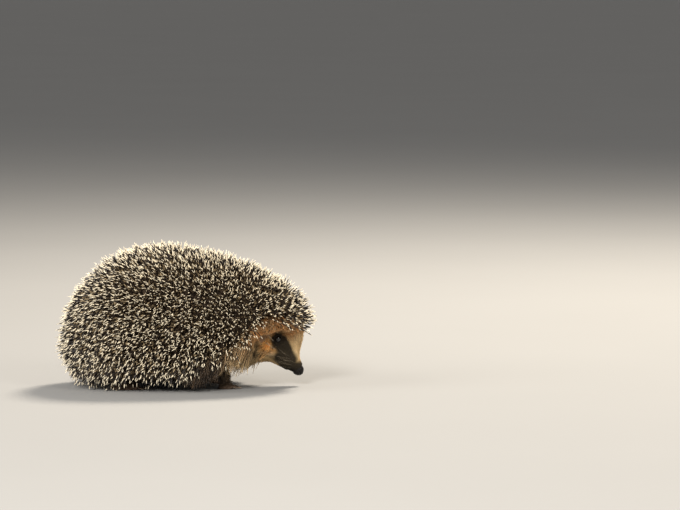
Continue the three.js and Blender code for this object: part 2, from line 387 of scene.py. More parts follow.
class Graph:
    """A node tree that is filled by method calls."""

    def __init__(self, tree: bpy.types.NodeTree) -> None:
        """Takes an empty tree."""
        self.tree = tree

    def node(self, kind: str, settings: dict | None = None, inputs: dict | None = None,
             output: int | str = 0) -> Val:
        """Adds a node.

        Args:
            kind: Blender's name of the node type.
            settings: The node's properties, which are set first.
            inputs: Values or links, by socket name or number.
            output: The socket that is returned.

        Returns:
            The chosen output.
        """
        made = self.tree.nodes.new(kind)
        for name, value in (settings or {}).items():
            setattr(made, name, value)
        for key, value in (inputs or {}).items():
            if isinstance(value, Val):
                self.tree.links.new(value.socket, made.inputs[key])
            else:
                made.inputs[key].default_value = value
        return Val(self, made.outputs[output] if made.outputs else made.inputs[0])

    def other(self, value: Val, output: int | str) -> Val:
        """Another output of the node that a value comes from."""
        return Val(self, value.socket.node.outputs[output])

    def mix(self, a: Val | Colour, b: Val | Colour, factor: Val | float) -> Val:
        """Colour between two, through a Mix node."""
        ends = [c if isinstance(c, Val) else (*c, 1.0) for c in (a, b)]
        return self.node("ShaderNodeMix", {"data_type": "RGBA"}, {0: factor, 6: ends[0], 7: ends[1]}, 2)

    def vector(self, operation: str, a: Val | tuple, b: Val | tuple | float, output: int = 0) -> Val:
        """Two vectors, or a vector and a factor, through one Vector Math node."""
        second = "Scale" if operation == "SCALE" else 1
        return self.node("ShaderNodeVectorMath", {"operation": operation}, {0: a, second: b}, output)

    def shaded(self, colour: Val, amount: Val) -> Val:
        """Colour made lighter or darker by a factor."""
        return self.vector("SCALE", colour, amount)

    def noise(self, scale: float, detail: float = 3.0, place: Val | None = None) -> Val:
        """Noise from about 0.3 to 0.7, on the object's own coordinates unless a place is given.

        Args:
            scale: Clouds to the metre.
            detail: How many finer clouds are added.
            place: Where it is read, if not on the object's own coordinates.

        Returns:
            The noise.
        """
        inputs = {"Scale": scale, "Detail": detail}
        inputs["Vector"] = place or self.node("ShaderNodeTexCoord", output="Object")
        return self.node("ShaderNodeTexNoise", inputs=inputs)


@dataclass(frozen=True)
class Patch:
    """A patch of colour round a line on one side of the animal, repeated on the other side."""

    start: Place
    end: Place
    inner: float
    outer: float

    def mask(self, graph: Graph, half: Val) -> Val:
        """1 within the inner distance of the line, fading to 0 at the outer one.

        Args:
            graph: The shader's graph.
            half: The place on the body, with its side made positive.

        Returns:
            The mask.
        """
        line = Vector(self.end) - Vector(self.start)
        off = graph.vector("SUBTRACT", half, self.start)
        share = graph.vector("DOT_PRODUCT", off, tuple(line / max(line.length_squared, 1e-9)), 1)
        along = share.math("MAXIMUM", 0.0).math("MINIMUM", 1.0)
        gap = graph.vector("DISTANCE", off, graph.vector("SCALE", tuple(line), along), 1)
        return gap.step(self.outer, self.inner)


@dataclass(frozen=True)
class Markings:
    """The coat's and skin's colours, in linear light, and where they lie on the body, in metres."""

    mask: Colour = (0.0078, 0.0075, 0.0066)
    tan: Colour = (0.345, 0.225, 0.115)
    # Partly painted light: the pale straw is the ruff's own paler hair, brightened to stand for warm
    # backlight.
    backlit_straw: Colour = (0.480, 0.340, 0.170)
    rust: Colour = (0.560, 0.262, 0.082)
    beige: Colour = (0.700, 0.535, 0.310)
    ear_tan: Colour = (0.400, 0.250, 0.120)
    ochre: Colour = (0.780, 0.390, 0.105)
    pale: Colour = (0.520, 0.430, 0.310)
    olive: Colour = (0.110, 0.085, 0.050)
    under: Colour = (0.240, 0.175, 0.110)
    hem: Colour = (0.080, 0.055, 0.034)
    dark_leg: Colour = (0.062, 0.041, 0.026)
    mask_patches: tuple[Patch, ...] = (
        Patch((0.0790, 0.0145, 0.0425), (0.0845, 0.0110, 0.0335), 0.0042, 0.0075),
        Patch((0.0835, 0.0125, 0.0415), (0.0875, 0.0100, 0.0320), 0.0035, 0.0062),
        Patch((0.0845, 0.0110, 0.0335), (0.0895, 0.0070, 0.0235), 0.0045, 0.0085),
        Patch((0.0820, 0.0100, 0.0250), (0.0880, 0.0070, 0.0225), 0.0045, 0.0075),
        Patch((0.0735, 0.0145, 0.0215), (0.0870, 0.0080, 0.0180), 0.0050, 0.0080),
        Patch((0.0880, 0.0040, 0.0185), (0.0965, 0.0000, 0.0145), 0.0062, 0.0090),
    )
    beige_patch: Patch = Patch((0.0985, 0.0, 0.0440), (0.0965, 0.0, 0.0310), 0.0050, 0.0115)
    cheek_patch: Patch = Patch((0.0750, 0.0165, 0.0315), (0.0700, 0.0190, 0.0375), 0.0028, 0.0085)
    pale_patch: Patch = Patch((0.0745, 0.0140, 0.0275), (0.0670, 0.0180, 0.0280), 0.0010, 0.0060)
    ear_patch: Patch = Patch((0.0700, 0.0220, 0.0440), (0.0660, 0.0240, 0.0380), 0.0030, 0.0100)
    brow_patch: Patch = Patch((0.0790, 0.0170, 0.0500), (0.0800, 0.0150, 0.0475), 0.0015, 0.0060)

    def colour(self, graph: Graph, spot: Val) -> Val:
        """Colour of the coat at a spot, the same on both sides of the animal.

        Args:
            graph: The shader's graph.
            spot: The place on the body, in metres.

        Returns:
            The colour.
        """
        x = graph.node("ShaderNodeSeparateXYZ", inputs={0: spot})
        side = graph.other(x, 1).math("ABSOLUTE")
        z = graph.other(x, 2)
        half = graph.node("ShaderNodeCombineXYZ", inputs={0: x, 1: side, 2: z})
        patchy = graph.noise(160.0, 2.0, spot)
        upper_leg = z.step(0.046, 0.034) * x.step(-0.002, 0.008) * x.step(0.042, 0.030)
        leg = z.step(0.019, 0.012).most(upper_leg) * (patchy + 0.55).math("MINIMUM", 1.0)
        layers = (
            # The hair's own colour together with painted light: straw over the neck and lower ruff lifts
            # the shade between cheek and ruff.
            (self.backlit_straw, z.step(0.047, 0.032) * x.step(0.034, 0.048)),
            (self.hem, x.step(0.008, -0.006) * z.step(0.036, 0.028) * 0.9),
            (self.dark_leg, leg),
            (self.rust, z.step(0.038, 0.050) * x.step(0.048, 0.062) * 0.85),
            (self.ear_tan, self.ear_patch.mask(graph, half) * 0.8),
            (self.ochre, self.cheek_patch.mask(graph, half) * 0.9),
            (self.pale, self.pale_patch.mask(graph, half) * 0.8),
            (self.olive, self.brow_patch.mask(graph, half) * 0.85),
            (self.beige, self.beige_patch.mask(graph, half) * 0.9),
            (self.rust, z.step(0.0465, 0.0500) * x.step(0.080, 0.090) * 0.85),
        )
        colour = graph.mix(self.under, self.tan, z.step(0.014, 0.030))
        for paint, share in layers:
            colour = graph.mix(colour, paint, share)
        dark = self.mask_patches[0].mask(graph, half)
        for patch in self.mask_patches[1:]:
            dark = dark.most(patch.mask(graph, half))
        return graph.mix(colour, self.mask, dark * 0.95)


MARKINGS = Markings()


@dataclass(frozen=True)
class Finish:
    """What every finish shares: a Principled shader with fixed numbers of its own."""

    name: str
    roughness: float = 0.6
    fixed: dict[str, float] = field(default_factory=dict)

    def build(self, paint: Callable[[Graph], dict[str, Val]]) -> bpy.types.Material:
        """Makes the material.

        Args:
            paint: Fills the graph and returns the links of the shader's sockets.

        Returns:
            The material.
        """
        material = bpy.data.materials.new(self.name)
        material.use_nodes = True
        material.node_tree.nodes.clear()
        graph = Graph(material.node_tree)
        numbers = {"Roughness": self.roughness, **self.fixed}
        shader = graph.node("ShaderNodeBsdfPrincipled", inputs={**numbers, **paint(graph)})
        graph.node("ShaderNodeOutputMaterial", inputs={"Surface": shader})
        return material


def raised(graph: Graph, height: Val, depth: float, strength: float = 1.0) -> Val:
    """A Bump node's normal for a height, over a depth in metres."""
    relief = {"Height": height, "Distance": depth, "Strength": strength}
    return graph.node("ShaderNodeBump", inputs=relief)


def along_strand(graph: Graph) -> Val:
    """Place along a spine or hair, from 0 at the root to 1 at the tip."""
    strand = graph.node("ShaderNodeUVMap", {"uv_map": STRAND_MAP})
    return graph.other(graph.node("ShaderNodeSeparateXYZ", inputs={0: strand}), 1)


def lightness(graph: Graph, colour: Val) -> Val:
    """0 for dark colours and up to 0.6 for light ones."""
    return graph.node("ShaderNodeRGBToBW", inputs={0: colour}).step(0.05, 0.30) * 0.6


def attribute(graph: Graph, name: str, output: str = "Fac") -> Val:
    """A value that the mesh keeps by name."""
    return graph.node("ShaderNodeAttribute", {"attribute_name": name}, output=output)


@dataclass(frozen=True)
class Paints:
    """The colours and relief of each kind of surface."""

    # Painted shade: the cream is duller than the real spines' pale base, for the shade deep in the coat.
    cream: Colour = (0.420, 0.320, 0.190)
    tip: Colour = (0.950, 0.845, 0.640)
    band: Colour = (0.016, 0.010, 0.007)
    # Painted shade: the near-black root stands for the shade where the spines leave the skin.
    root: Colour = (0.045, 0.030, 0.019)
    frosted: Colour = (0.680, 0.500, 0.280)
    pad: Colour = (0.120, 0.080, 0.058)
    ear_skin: Colour = (0.230, 0.140, 0.085)
    fur_slope: float = math.radians(50.0)

    def spine(self, graph: Graph) -> dict[str, Val]:
        """Cream spine with a dark band under its pale tip, each a little different, with painted shade that
        dulls the cream and darkens the root.

        Args:
            graph: The shader's graph.

        Returns:
            The link of the colour.
        """
        tone = attribute(graph, "tone")
        along = along_strand(graph) + tone * 0.12 - 0.06
        dark = along.step(0.45, 0.52) * along.step(0.835, 0.79)
        # Painted shade: the spine darkens from its dulled cream to the near-black root.
        base = graph.mix(self.root, self.cream, along.step(0.24, 0.40))
        colour = graph.mix(graph.mix(base, self.tip, along.step(0.78, 0.87)), self.band, dark)
        return {"Base Color": graph.shaded(colour, (tone * 17.0).fraction().spread(0.70, 1.10))}

    def fur(self, graph: Graph) -> dict[str, Val]:
        """Short fur, more even than the long hair."""
        return self.hair(graph, 1.00, 1.95, -2.5, 0.12)

    def hair(self, graph: Graph, darkest: float = 0.36, palest: float = 2.10, shade: float = -0.7,
             clumps: float = 0.42) -> dict[str, Val]:
        """Hair in the markings' colour of its root, with pale and dark strands mixed.

        Args:
            graph: The shader's graph.
            darkest: Factor of the darkest strands.
            palest: Factor of the palest strands.
            shade: Where along the strand the painted shade that darkens its root would begin.
            clumps: How much the locks differ in lightness.

        Returns:
            The link of the colour.
        """
        along = along_strand(graph)
        strand = (graph.other(along, 0) * 4.0).math("FLOOR")
        tone = (attribute(graph, "tone") * 7.0 + strand * 0.37).fraction()
        colour = MARKINGS.colour(graph, attribute(graph, "root", "Vector"))
        # Painted shade: each strand darkens towards its root, for the shade deep in the coat.
        bright = tone.math("POWER", 2.2).spread(darkest, palest) * along.step(shade, 0.95)
        clump = graph.noise(230.0, 1.0, attribute(graph, "root", "Vector")).step(0.36, 0.64)
        bright = bright * clump.spread(1.0 - clumps, 1.0 + clumps)
        frost = along.step(0.55, 1.0) * lightness(graph, colour)
        return {"Base Color": graph.mix(graph.shaded(colour, bright), self.frosted, frost)}

    def skin(self, graph: Graph) -> dict[str, Val]:
        """Skin under the coat, in the same markings and with painted shade under the spines, with a relief
        of short flat fur.

        Args:
            graph: The shader's graph.

        Returns:
            The links of the colour and the relief.
        """
        spot = graph.node("ShaderNodeTexCoord", output="Object")
        colour = graph.shaded(MARKINGS.colour(graph, spot), graph.noise(420.0).spread(0.55, 1.15))
        # Painted shade: under the spines the skin takes the spines' near-black root colour; soles and ear
        # cups get their own colours.
        for paint, region in ((self.root, "spiny"), (self.pad, "bare"), (self.ear_skin, "ear_inside")):
            colour = graph.mix(colour, paint, attribute(graph, region))
        stretch = {"Vector": spot, "Rotation": (0.0, self.fur_slope, 0.0), "Scale": (4.0, 1.0, 1.0)}
        stretched = graph.node("ShaderNodeMapping", {"vector_type": "TEXTURE"}, stretch)
        relief = graph.noise(2600.0, 4.0, stretched)
        return {"Base Color": colour, "Normal": raised(graph, relief, 0.35 * MM, 0.8)}

    def nose(self, graph: Graph) -> dict[str, Val]:
        """Moist black leather with fine pebbles.

        Args:
            graph: The shader's graph.

        Returns:
            The links of the colour, the roughness and the relief.
        """
        spot = graph.node("ShaderNodeTexCoord", output="Object")
        cells = graph.node("ShaderNodeTexVoronoi", inputs={"Vector": spot, "Scale": 2400.0})
        rough = graph.noise(900.0).spread(0.24, 0.56)
        colour = graph.mix((0.004, 0.0035, 0.0035), (0.012, 0.010, 0.009), graph.noise(500.0))
        pebbled = raised(graph, cells, 0.10 * MM, 0.7)
        return {"Base Color": colour, "Roughness": rough, "Normal": pebbled}

    def eye(self, graph: Graph) -> dict[str, Val]:
        """Near-black eye with a brown depth."""
        depth = graph.noise(700.0)
        return {"Base Color": graph.mix((0.002, 0.002, 0.002), (0.008, 0.005, 0.004), depth)}

    def claw(self, graph: Graph) -> dict[str, Val]:
        """Horn, dark at the root and paler at the tip.

        Args:
            graph: The shader's graph.

        Returns:
            The links of the colour and the relief.
        """
        streak = graph.noise(1500.0)
        tip = along_strand(graph).step(0.2, 1.0)
        colour = graph.mix((0.070, 0.045, 0.030), (0.300, 0.220, 0.140), tip)
        return {"Base Color": graph.shaded(colour, streak.spread(0.6, 1.3)),
                "Normal": raised(graph, streak, 0.08 * MM, 0.5)}

    def whisker(self, graph: Graph) -> dict[str, Val]:
        """Dark root and pale tip."""
        tip = along_strand(graph).step(0.0, 0.5)
        return {"Base Color": graph.mix((0.030, 0.022, 0.016), (0.520, 0.420, 0.300), tip)}


@dataclass(frozen=True)
class Finishes:
    """All the materials of the animal."""

    spine: bpy.types.Material
    hair: bpy.types.Material
    fur: bpy.types.Material
    skin: bpy.types.Material
    nose: bpy.types.Material
    eye: bpy.types.Material
    claw: bpy.types.Material
    whisker: bpy.types.Material

    @staticmethod
    def make() -> "Finishes":
        """Builds each material once.

        Returns:
            The materials by kind.
        """
        paints = Paints()
        hairy = {"Sheen Weight": 0.05, "Sheen Roughness": 0.4, "Specular IOR Level": 0.30}
        moist = {"Specular IOR Level": 0.16, "Coat Weight": 0.04, "Coat Roughness": 0.20}
        return Finishes(
            spine=Finish("keratin spines", 0.42, {"Specular IOR Level": 0.45}).build(paints.spine),
            hair=Finish("coarse hair", 0.62, hairy).build(paints.hair),
            fur=Finish("short fur", 0.70, {"Specular IOR Level": 0.16}).build(paints.fur),
            skin=Finish("furred skin", 0.75, {"Specular IOR Level": 0.15}).build(paints.skin),
            nose=Finish("moist nose", 0.36, moist).build(paints.nose),
            eye=Finish("glossy eye", 0.05, {"Specular IOR Level": 0.65}).build(paints.eye),
            claw=Finish("horn claws", 0.38).build(paints.claw),
            whisker=Finish("whisker bristle", 0.45).build(paints.whisker),
        )


# ---- The shape of the body -------------------------------------------------------------------------


@dataclass(frozen=True)
class TrunkForm:
    """Skin of the trunk and crown, as outlines between landmarks in metres."""

    rear_x: float
    rear_z: float
    brow_x: float
    brow_z: float
    crest_x: float
    crest_z: float
    half: float
    waist_x: float = -0.020
    widest_z: float = 0.040
    hem_z: float = 0.0080
    chest_z: float = 0.0225
    hood_z: float = 0.0505
    haunch_x: float = -0.075
    forehead_x: float = 0.088

    @staticmethod
    def under_coat(depth: float) -> "TrunkForm":
        """The form that lies inside the solids by the coat's depth.

        Args:
            depth: The coat's depth.

        Returns:
            The form.
        """
        rump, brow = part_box("trunk_rump")[0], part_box("head_crown")[1]
        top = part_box("trunk_back")[1]
        return TrunkForm(rear_x=rump.x + 0.88 * depth, rear_z=0.042, brow_x=brow.x - depth, brow_z=0.0575,
                         crest_x=-0.022, crest_z=top.z - 0.92 * depth, half=top.y - 0.90 * depth)

    def sections(self, rings: int = 72, around: int = 72) -> Array:
        """Rings of the skin from rump to brow.

        Args:
            rings: Number of rings.
            around: Points in each ring.

        Returns:
            Points by ring, by place round the ring, by axis.
        """
        sweep = np.linspace(0.06, math.pi - 0.05, rings)
        x = self.rear_x + (self.brow_x - self.rear_x) * (1 - np.cos(sweep)) / 2
        behind = (self.crest_x - x) / (self.crest_x - self.rear_x)
        ahead = (x - self.crest_x) / (self.brow_x - self.crest_x)
        top = np.where(behind > 0, self.rear_z + (self.crest_z - self.rear_z) * arc(behind, 2.0),
                       self.brow_z + (self.crest_z - self.brow_z) * arc(ahead, 1.6))
        back = (self.waist_x - x) / (self.waist_x - self.rear_x)
        fore = (x - self.waist_x) / (self.brow_x - self.waist_x)
        half = self.half * np.where(back > 0, arc(back, 2.2), arc(fore, 1.85))
        mid = blend(self.rear_z, self.widest_z, smooth(x, self.rear_x, self.haunch_x))
        mid = blend(mid, self.brow_z, smooth(x, 0.030, self.brow_x))
        hem = blend(self.hem_z, self.chest_z, smooth(x, 0.005, 0.042))
        hem = blend(hem, self.hood_z, smooth(x, 0.046, 0.068))
        past = (self.haunch_x - x) / (self.haunch_x - self.rear_x)
        hem = np.where(x < self.haunch_x, blend(mid, self.hem_z, arc(past, 2.0)), hem)
        past = (x - self.forehead_x) / (self.brow_x - self.forehead_x) * (x > self.forehead_x)
        hem = np.minimum(blend(mid, hem, arc(past, 2.0)), mid)
        turn = full_turn(around)
        rise = np.sin(turn)[None, :]
        power = np.where(rise > 0, 2.1, blend(2.8, 1.9, smooth(x, 0.005, 0.044))[:, None])
        reach = np.where(rise > 0, (top - mid)[:, None], (mid - hem)[:, None])
        y = bend(np.cos(turn)[None, :], 2 / power) * half[:, None]
        z = mid[:, None] + bend(rise, 2 / power) * reach
        return np.dstack([np.repeat(x[:, None], around, 1), y, z])


@dataclass(frozen=True)
class HeadForm:
    """The head in its own frame: back from the nose, side, and up from the axis, in metres."""

    nose: Place = (0.0976, 0.0, 0.0136)
    pitch: float = math.radians(50.0)
    length: float = 0.060
    eye: Place = (0.0345, 0.0136, 0.0044)
    eye_radius: float = 0.0031
    ear: Place = (0.0442, 0.0248, -0.0024)
    ear_turn: float = math.radians(54)
    ear_tilt: float = math.radians(-14)
    ear_lean: float = math.radians(16)

    def frame(self) -> Matrix:
        """From the head's frame to the body's."""
        return Matrix.Translation(self.nose) @ Matrix.Rotation(self.pitch, 4, "Y")

    def local(self, points: Array) -> tuple[Array, Array, Array]:
        """Points of the body as distance behind the nose, side, and height over the axis."""
        inside = Shell(points, []).moved(self.frame().inverted()).points
        return -inside[:, 0], inside[:, 1], inside[:, 2]

    def spot(self, back: float, side: float, up: float) -> Vector:
        """A place of the head's frame in the body's frame."""
        return self.frame() @ Vector((-back, side, up))

    def sections(self, rings: int = 64, around: int = 56) -> Array:
        """Rings of the head from the throat to the muzzle's end.

        Args:
            rings: Number of rings.
            around: Points in each ring.

        Returns:
            Points by ring, by place round the ring, by axis.
        """
        back = np.linspace(self.length, 0.0012, rings)
        top = 4.7 * MM + 0.31 * back + 9.5 * MM * smooth(back, 7 * MM, 25 * MM)
        under = 5.1 * MM + 0.39 * back + 4.0 * MM * smooth(back, 20 * MM, 34 * MM)
        half = 4.3 * MM + 0.285 * back + 4.0 * MM * smooth(back, 28 * MM, 48 * MM)
        half += 0.8 * MM * bump_at(back - 11 * MM, 6 * MM)
        turn = full_turn(around)
        rise = np.sin(turn)[None, :]
        y = bend(np.cos(turn)[None, :], 0.92) * half[:, None]
        z = bend(rise, 0.92) * np.where(rise > 0, top[:, None], under[:, None])
        local = np.dstack([np.repeat(-back[:, None], around, 1), y, z])
        return Shell(local.reshape(-1, 3), []).moved(self.frame()).points.reshape(local.shape)

    def modelled(self, points: Array, normals: Array) -> Array:
        """Adds the face's small forms: sockets, lids, lips, chin, brows and whisker pads.

        Args:
            points: The skin's points.
            normals: Their normals.

        Returns:
            The points' new places.
        """
        back, side, up = self.local(points)
        lean = unit(np.array([0.30, 0.93, 0.20]))
        reach = np.zeros(len(points))
        ahead = smooth(back, 55 * MM, 48 * MM)
        for sign in SIDES.values():
            off = np.stack([-back + self.eye[0], (side * sign) - self.eye[1], up - self.eye[2]], -1)
            along = off @ lean
            flat_off = off - along[:, None] * lean
            radius = np.linalg.norm(flat_off * np.array([0.90, 1.0, 1.05]), axis=1)
            near = smooth(side * sign, 4 * MM, 8 * MM)
            reach -= 2.6 * MM * smooth(radius, 3.1 * MM, 2.2 * MM) * near
            reach += 0.60 * MM * bump_at(radius - 3.45 * MM, 0.60 * MM) * near
            reach -= 0.35 * MM * bump_at(radius - 4.8 * MM, 0.7 * MM) * near
            brow = np.hypot(back - 33 * MM, up - 10.5 * MM)
            reach += 1.0 * MM * bump_at(brow, 4.5 * MM) * near
            pad = np.hypot(back - 9.5 * MM, up + 0.6 * MM)
            reach += 0.7 * MM * bump_at(pad, 4.0 * MM) * smooth(side * sign, 1.5 * MM, 4 * MM)
            cheek = np.hypot(back - 33 * MM, up + 6.5 * MM)
            reach += 0.9 * MM * bump_at(cheek, 5.5 * MM) * near
        lip = up + 3.2 * MM + 0.19 * back
        window = smooth(back, 2 * MM, 4 * MM) * smooth(back, 27 * MM, 21 * MM)
        reach -= 0.85 * MM * bump_at(lip, 0.55 * MM) * window
        reach += 0.25 * MM * bump_at(lip - 1.3 * MM, 0.7 * MM) * window
        chin = smooth(back, 9 * MM, 5 * MM) * smooth(lip, 0.2 * MM, -0.8 * MM)
        moved = points + normals * (reach * ahead)[:, None]
        axis = np.array(self.frame().to_3x3() @ Vector((-1, 0, 0.4)))
        return moved + axis * (chin * 1.2 * MM)[:, None]

    def ear_shell(self, sign: float) -> Shell:
        """One thin, round, cupped ear that narrows and turns in to its root, with a rolled rim.

        Args:
            sign: 1 for the left ear, -1 for the right.

        Returns:
            The ear, in its place on the head.
        """
        height, width, cup, wall = 14.5 * MM, 13.0 * MM, 3.0 * MM, 0.9 * MM
        r = np.linspace(0.05, 1.0, 10)[:, None]
        turn = full_turn(40)[None, :]
        y = width / 2 * r * np.cos(turn) * (1 - 0.30 * smooth(-np.sin(turn) * r, 0.1, 1.0))
        z = height / 2 * r * np.sin(turn)
        rim, root = smooth(r, 0.80, 1.0), smooth(-z / height, 0.05, 0.5)
        x = cup * (r**2 - 1) - 0.9 * MM * rim - 3.2 * MM * root
        x = x + 0.5 * MM * np.cos(3 * turn) * r**3
        front = np.dstack([x, y, z])
        behind = front - np.array([1.0, 0.0, 0.0]) * (wall * (1 - 0.5 * r**6))[:, :, None]
        shell = Shell.loft(np.concatenate([front, behind[::-1]]))
        spot = self.spot(self.ear[0], sign * self.ear[1], self.ear[2])
        turned = Matrix.Rotation(sign * self.ear_turn, 4, "Z") @ Matrix.Rotation(self.ear_tilt, 4, "Y")
        lean = Matrix.Rotation(-sign * self.ear_lean, 4, "X")
        return shell.moved(Matrix.Translation(spot) @ lean @ turned)


class Limb(Enum):
    """The four limbs, by name: side, foot's place in metres, and whether it is a hind one."""

    FORE_RIGHT = ("right", 0.034, -0.022, False)
    FORE_LEFT = ("left", 0.025, 0.022, False)
    HIND_RIGHT = ("right", -0.054, -0.028, True)
    HIND_LEFT = ("left", -0.060, 0.028, True)

    @property
    def hind(self) -> bool:
        """Whether it is a hind limb."""
        return self.value[3]

    @property
    def foot(self) -> Vector:
        """Where its foot stands."""
        return Vector((self.value[1], self.value[2], 0.0))

    def named(self, part: str = "") -> str:
        """Name of the limb or of a part of it, as its solids have it."""
        return ("hind" if self.hind else "fore") + part + "_" + self.value[0]


@dataclass(frozen=True)
class PawForm:
    """One leg with its foot and toes, in metres, standing over the foot's own place."""

    palm: Place
    toe: float
    reach: float
    spread: float
    leg: tuple[float, float]
    top: float
    lean: float
    claw: float
    toes: int = 5
    ankle: float = 0.0035

    @staticmethod
    def of(limb: Limb) -> "PawForm":
        """The sizes of a fore or hind limb.

        Args:
            limb: The limb.

        Returns:
            Its sizes.
        """
        if limb.hind:
            return PawForm(palm=(0.0115, 0.0050, 0.0058), toe=0.00125, reach=0.0078, spread=0.74,
                           leg=(0.0048, 0.0120), top=0.034, lean=0.012, claw=0.0052)
        return PawForm(palm=(0.0068, 0.0046, 0.0054), toe=0.00120, reach=0.0058, spread=1.06,
                       leg=(0.0040, 0.0085), top=0.030, lean=-0.003, claw=0.0046)

    def toe_tip(self, index: int) -> tuple[float, Vector]:
        """Turn of a toe and where its pad ends, in the foot's frame.

        Args:
            index: The toe's number, from 0.

        Returns:
            The turn and the place.
        """
        turn = self.spread * (index / (self.toes - 1) - 0.5)
        reach = self.palm[0] * 0.62 + self.reach * math.cos(2 * turn)
        return turn, Vector((reach * math.cos(turn), reach * math.sin(turn), self.toe * 0.95))

    def leg_shells(self) -> list[Shell]:
        """Leg and palm, as shells that are joined later.

        Returns:
            The leg's shell and the palm's.
        """
        heel = -self.palm[0] * 0.45
        t = np.linspace(0, 1, 10)
        rise = self.ankle + (self.top - self.ankle) * t
        path = np.stack([heel + self.lean * t**1.3, 0 * t, rise], -1)
        leg = Shell.tube(path, self.leg[0] + (self.leg[1] - self.leg[0]) * t**1.6, 20)
        return [leg, Shell.egg(self.palm, (0.0, 0.0, self.palm[2] * 0.16))]

    def toe_shells(self) -> list[Shell]:
        """The toes, which grow out of the palm.

        Returns:
            A shell for each toe.
        """
        made = []
        t = np.linspace(0, 1, 8)
        swell = 1 - 0.16 * np.sin(t * math.pi * 1.5) ** 2
        pad = np.array([1, 1, 1, 1, 1, 1.02, 1, 0.7])
        for i in range(self.toes):
            turn, tip = self.toe_tip(i)
            x, y = self.palm[0] * 0.30 * math.cos(turn), self.palm[0] * 0.5 * math.sin(turn)
            start = Vector((x, y, self.toe * 1.3))
            path = [start.lerp(tip, s) + Vector((0, 0, 0.5 * MM * math.sin(math.pi * s))) for s in t]
            made.append(Shell.tube(np.array(path), self.toe * swell * pad, 12))
        return made

    def claw_shells(self) -> list[Shell]:
        """One bent, tapering claw for each toe.

        Returns:
            A shell for each claw.
        """
        made = []
        t = np.linspace(0, 1, CLAW_KNOTS)
        out = -0.6 * MM + self.claw * t
        drop = -0.22 * self.claw * t**2
        for i in range(self.toes):
            turn, tip = self.toe_tip(i)
            x, y = tip.x + out * math.cos(turn), tip.y + out * math.sin(turn)
            path = np.stack([x, y, tip.z + 0.45 * MM + drop], -1)
            made.append(Shell.tube(path, 0.82 * MM * (1 - t**1.6 * 0.93), CLAW_SIDES, 0.8))
        return made


def place_foot(limb: Limb, shells: Sequence[Shell]) -> list[Shell]:
    """Moves a foot's shells to where the foot stands."""
    return [shell.moved(Matrix.Translation(limb.foot)) for shell in shells]


# ---- The skin --------------------------------------------------------------------------------------


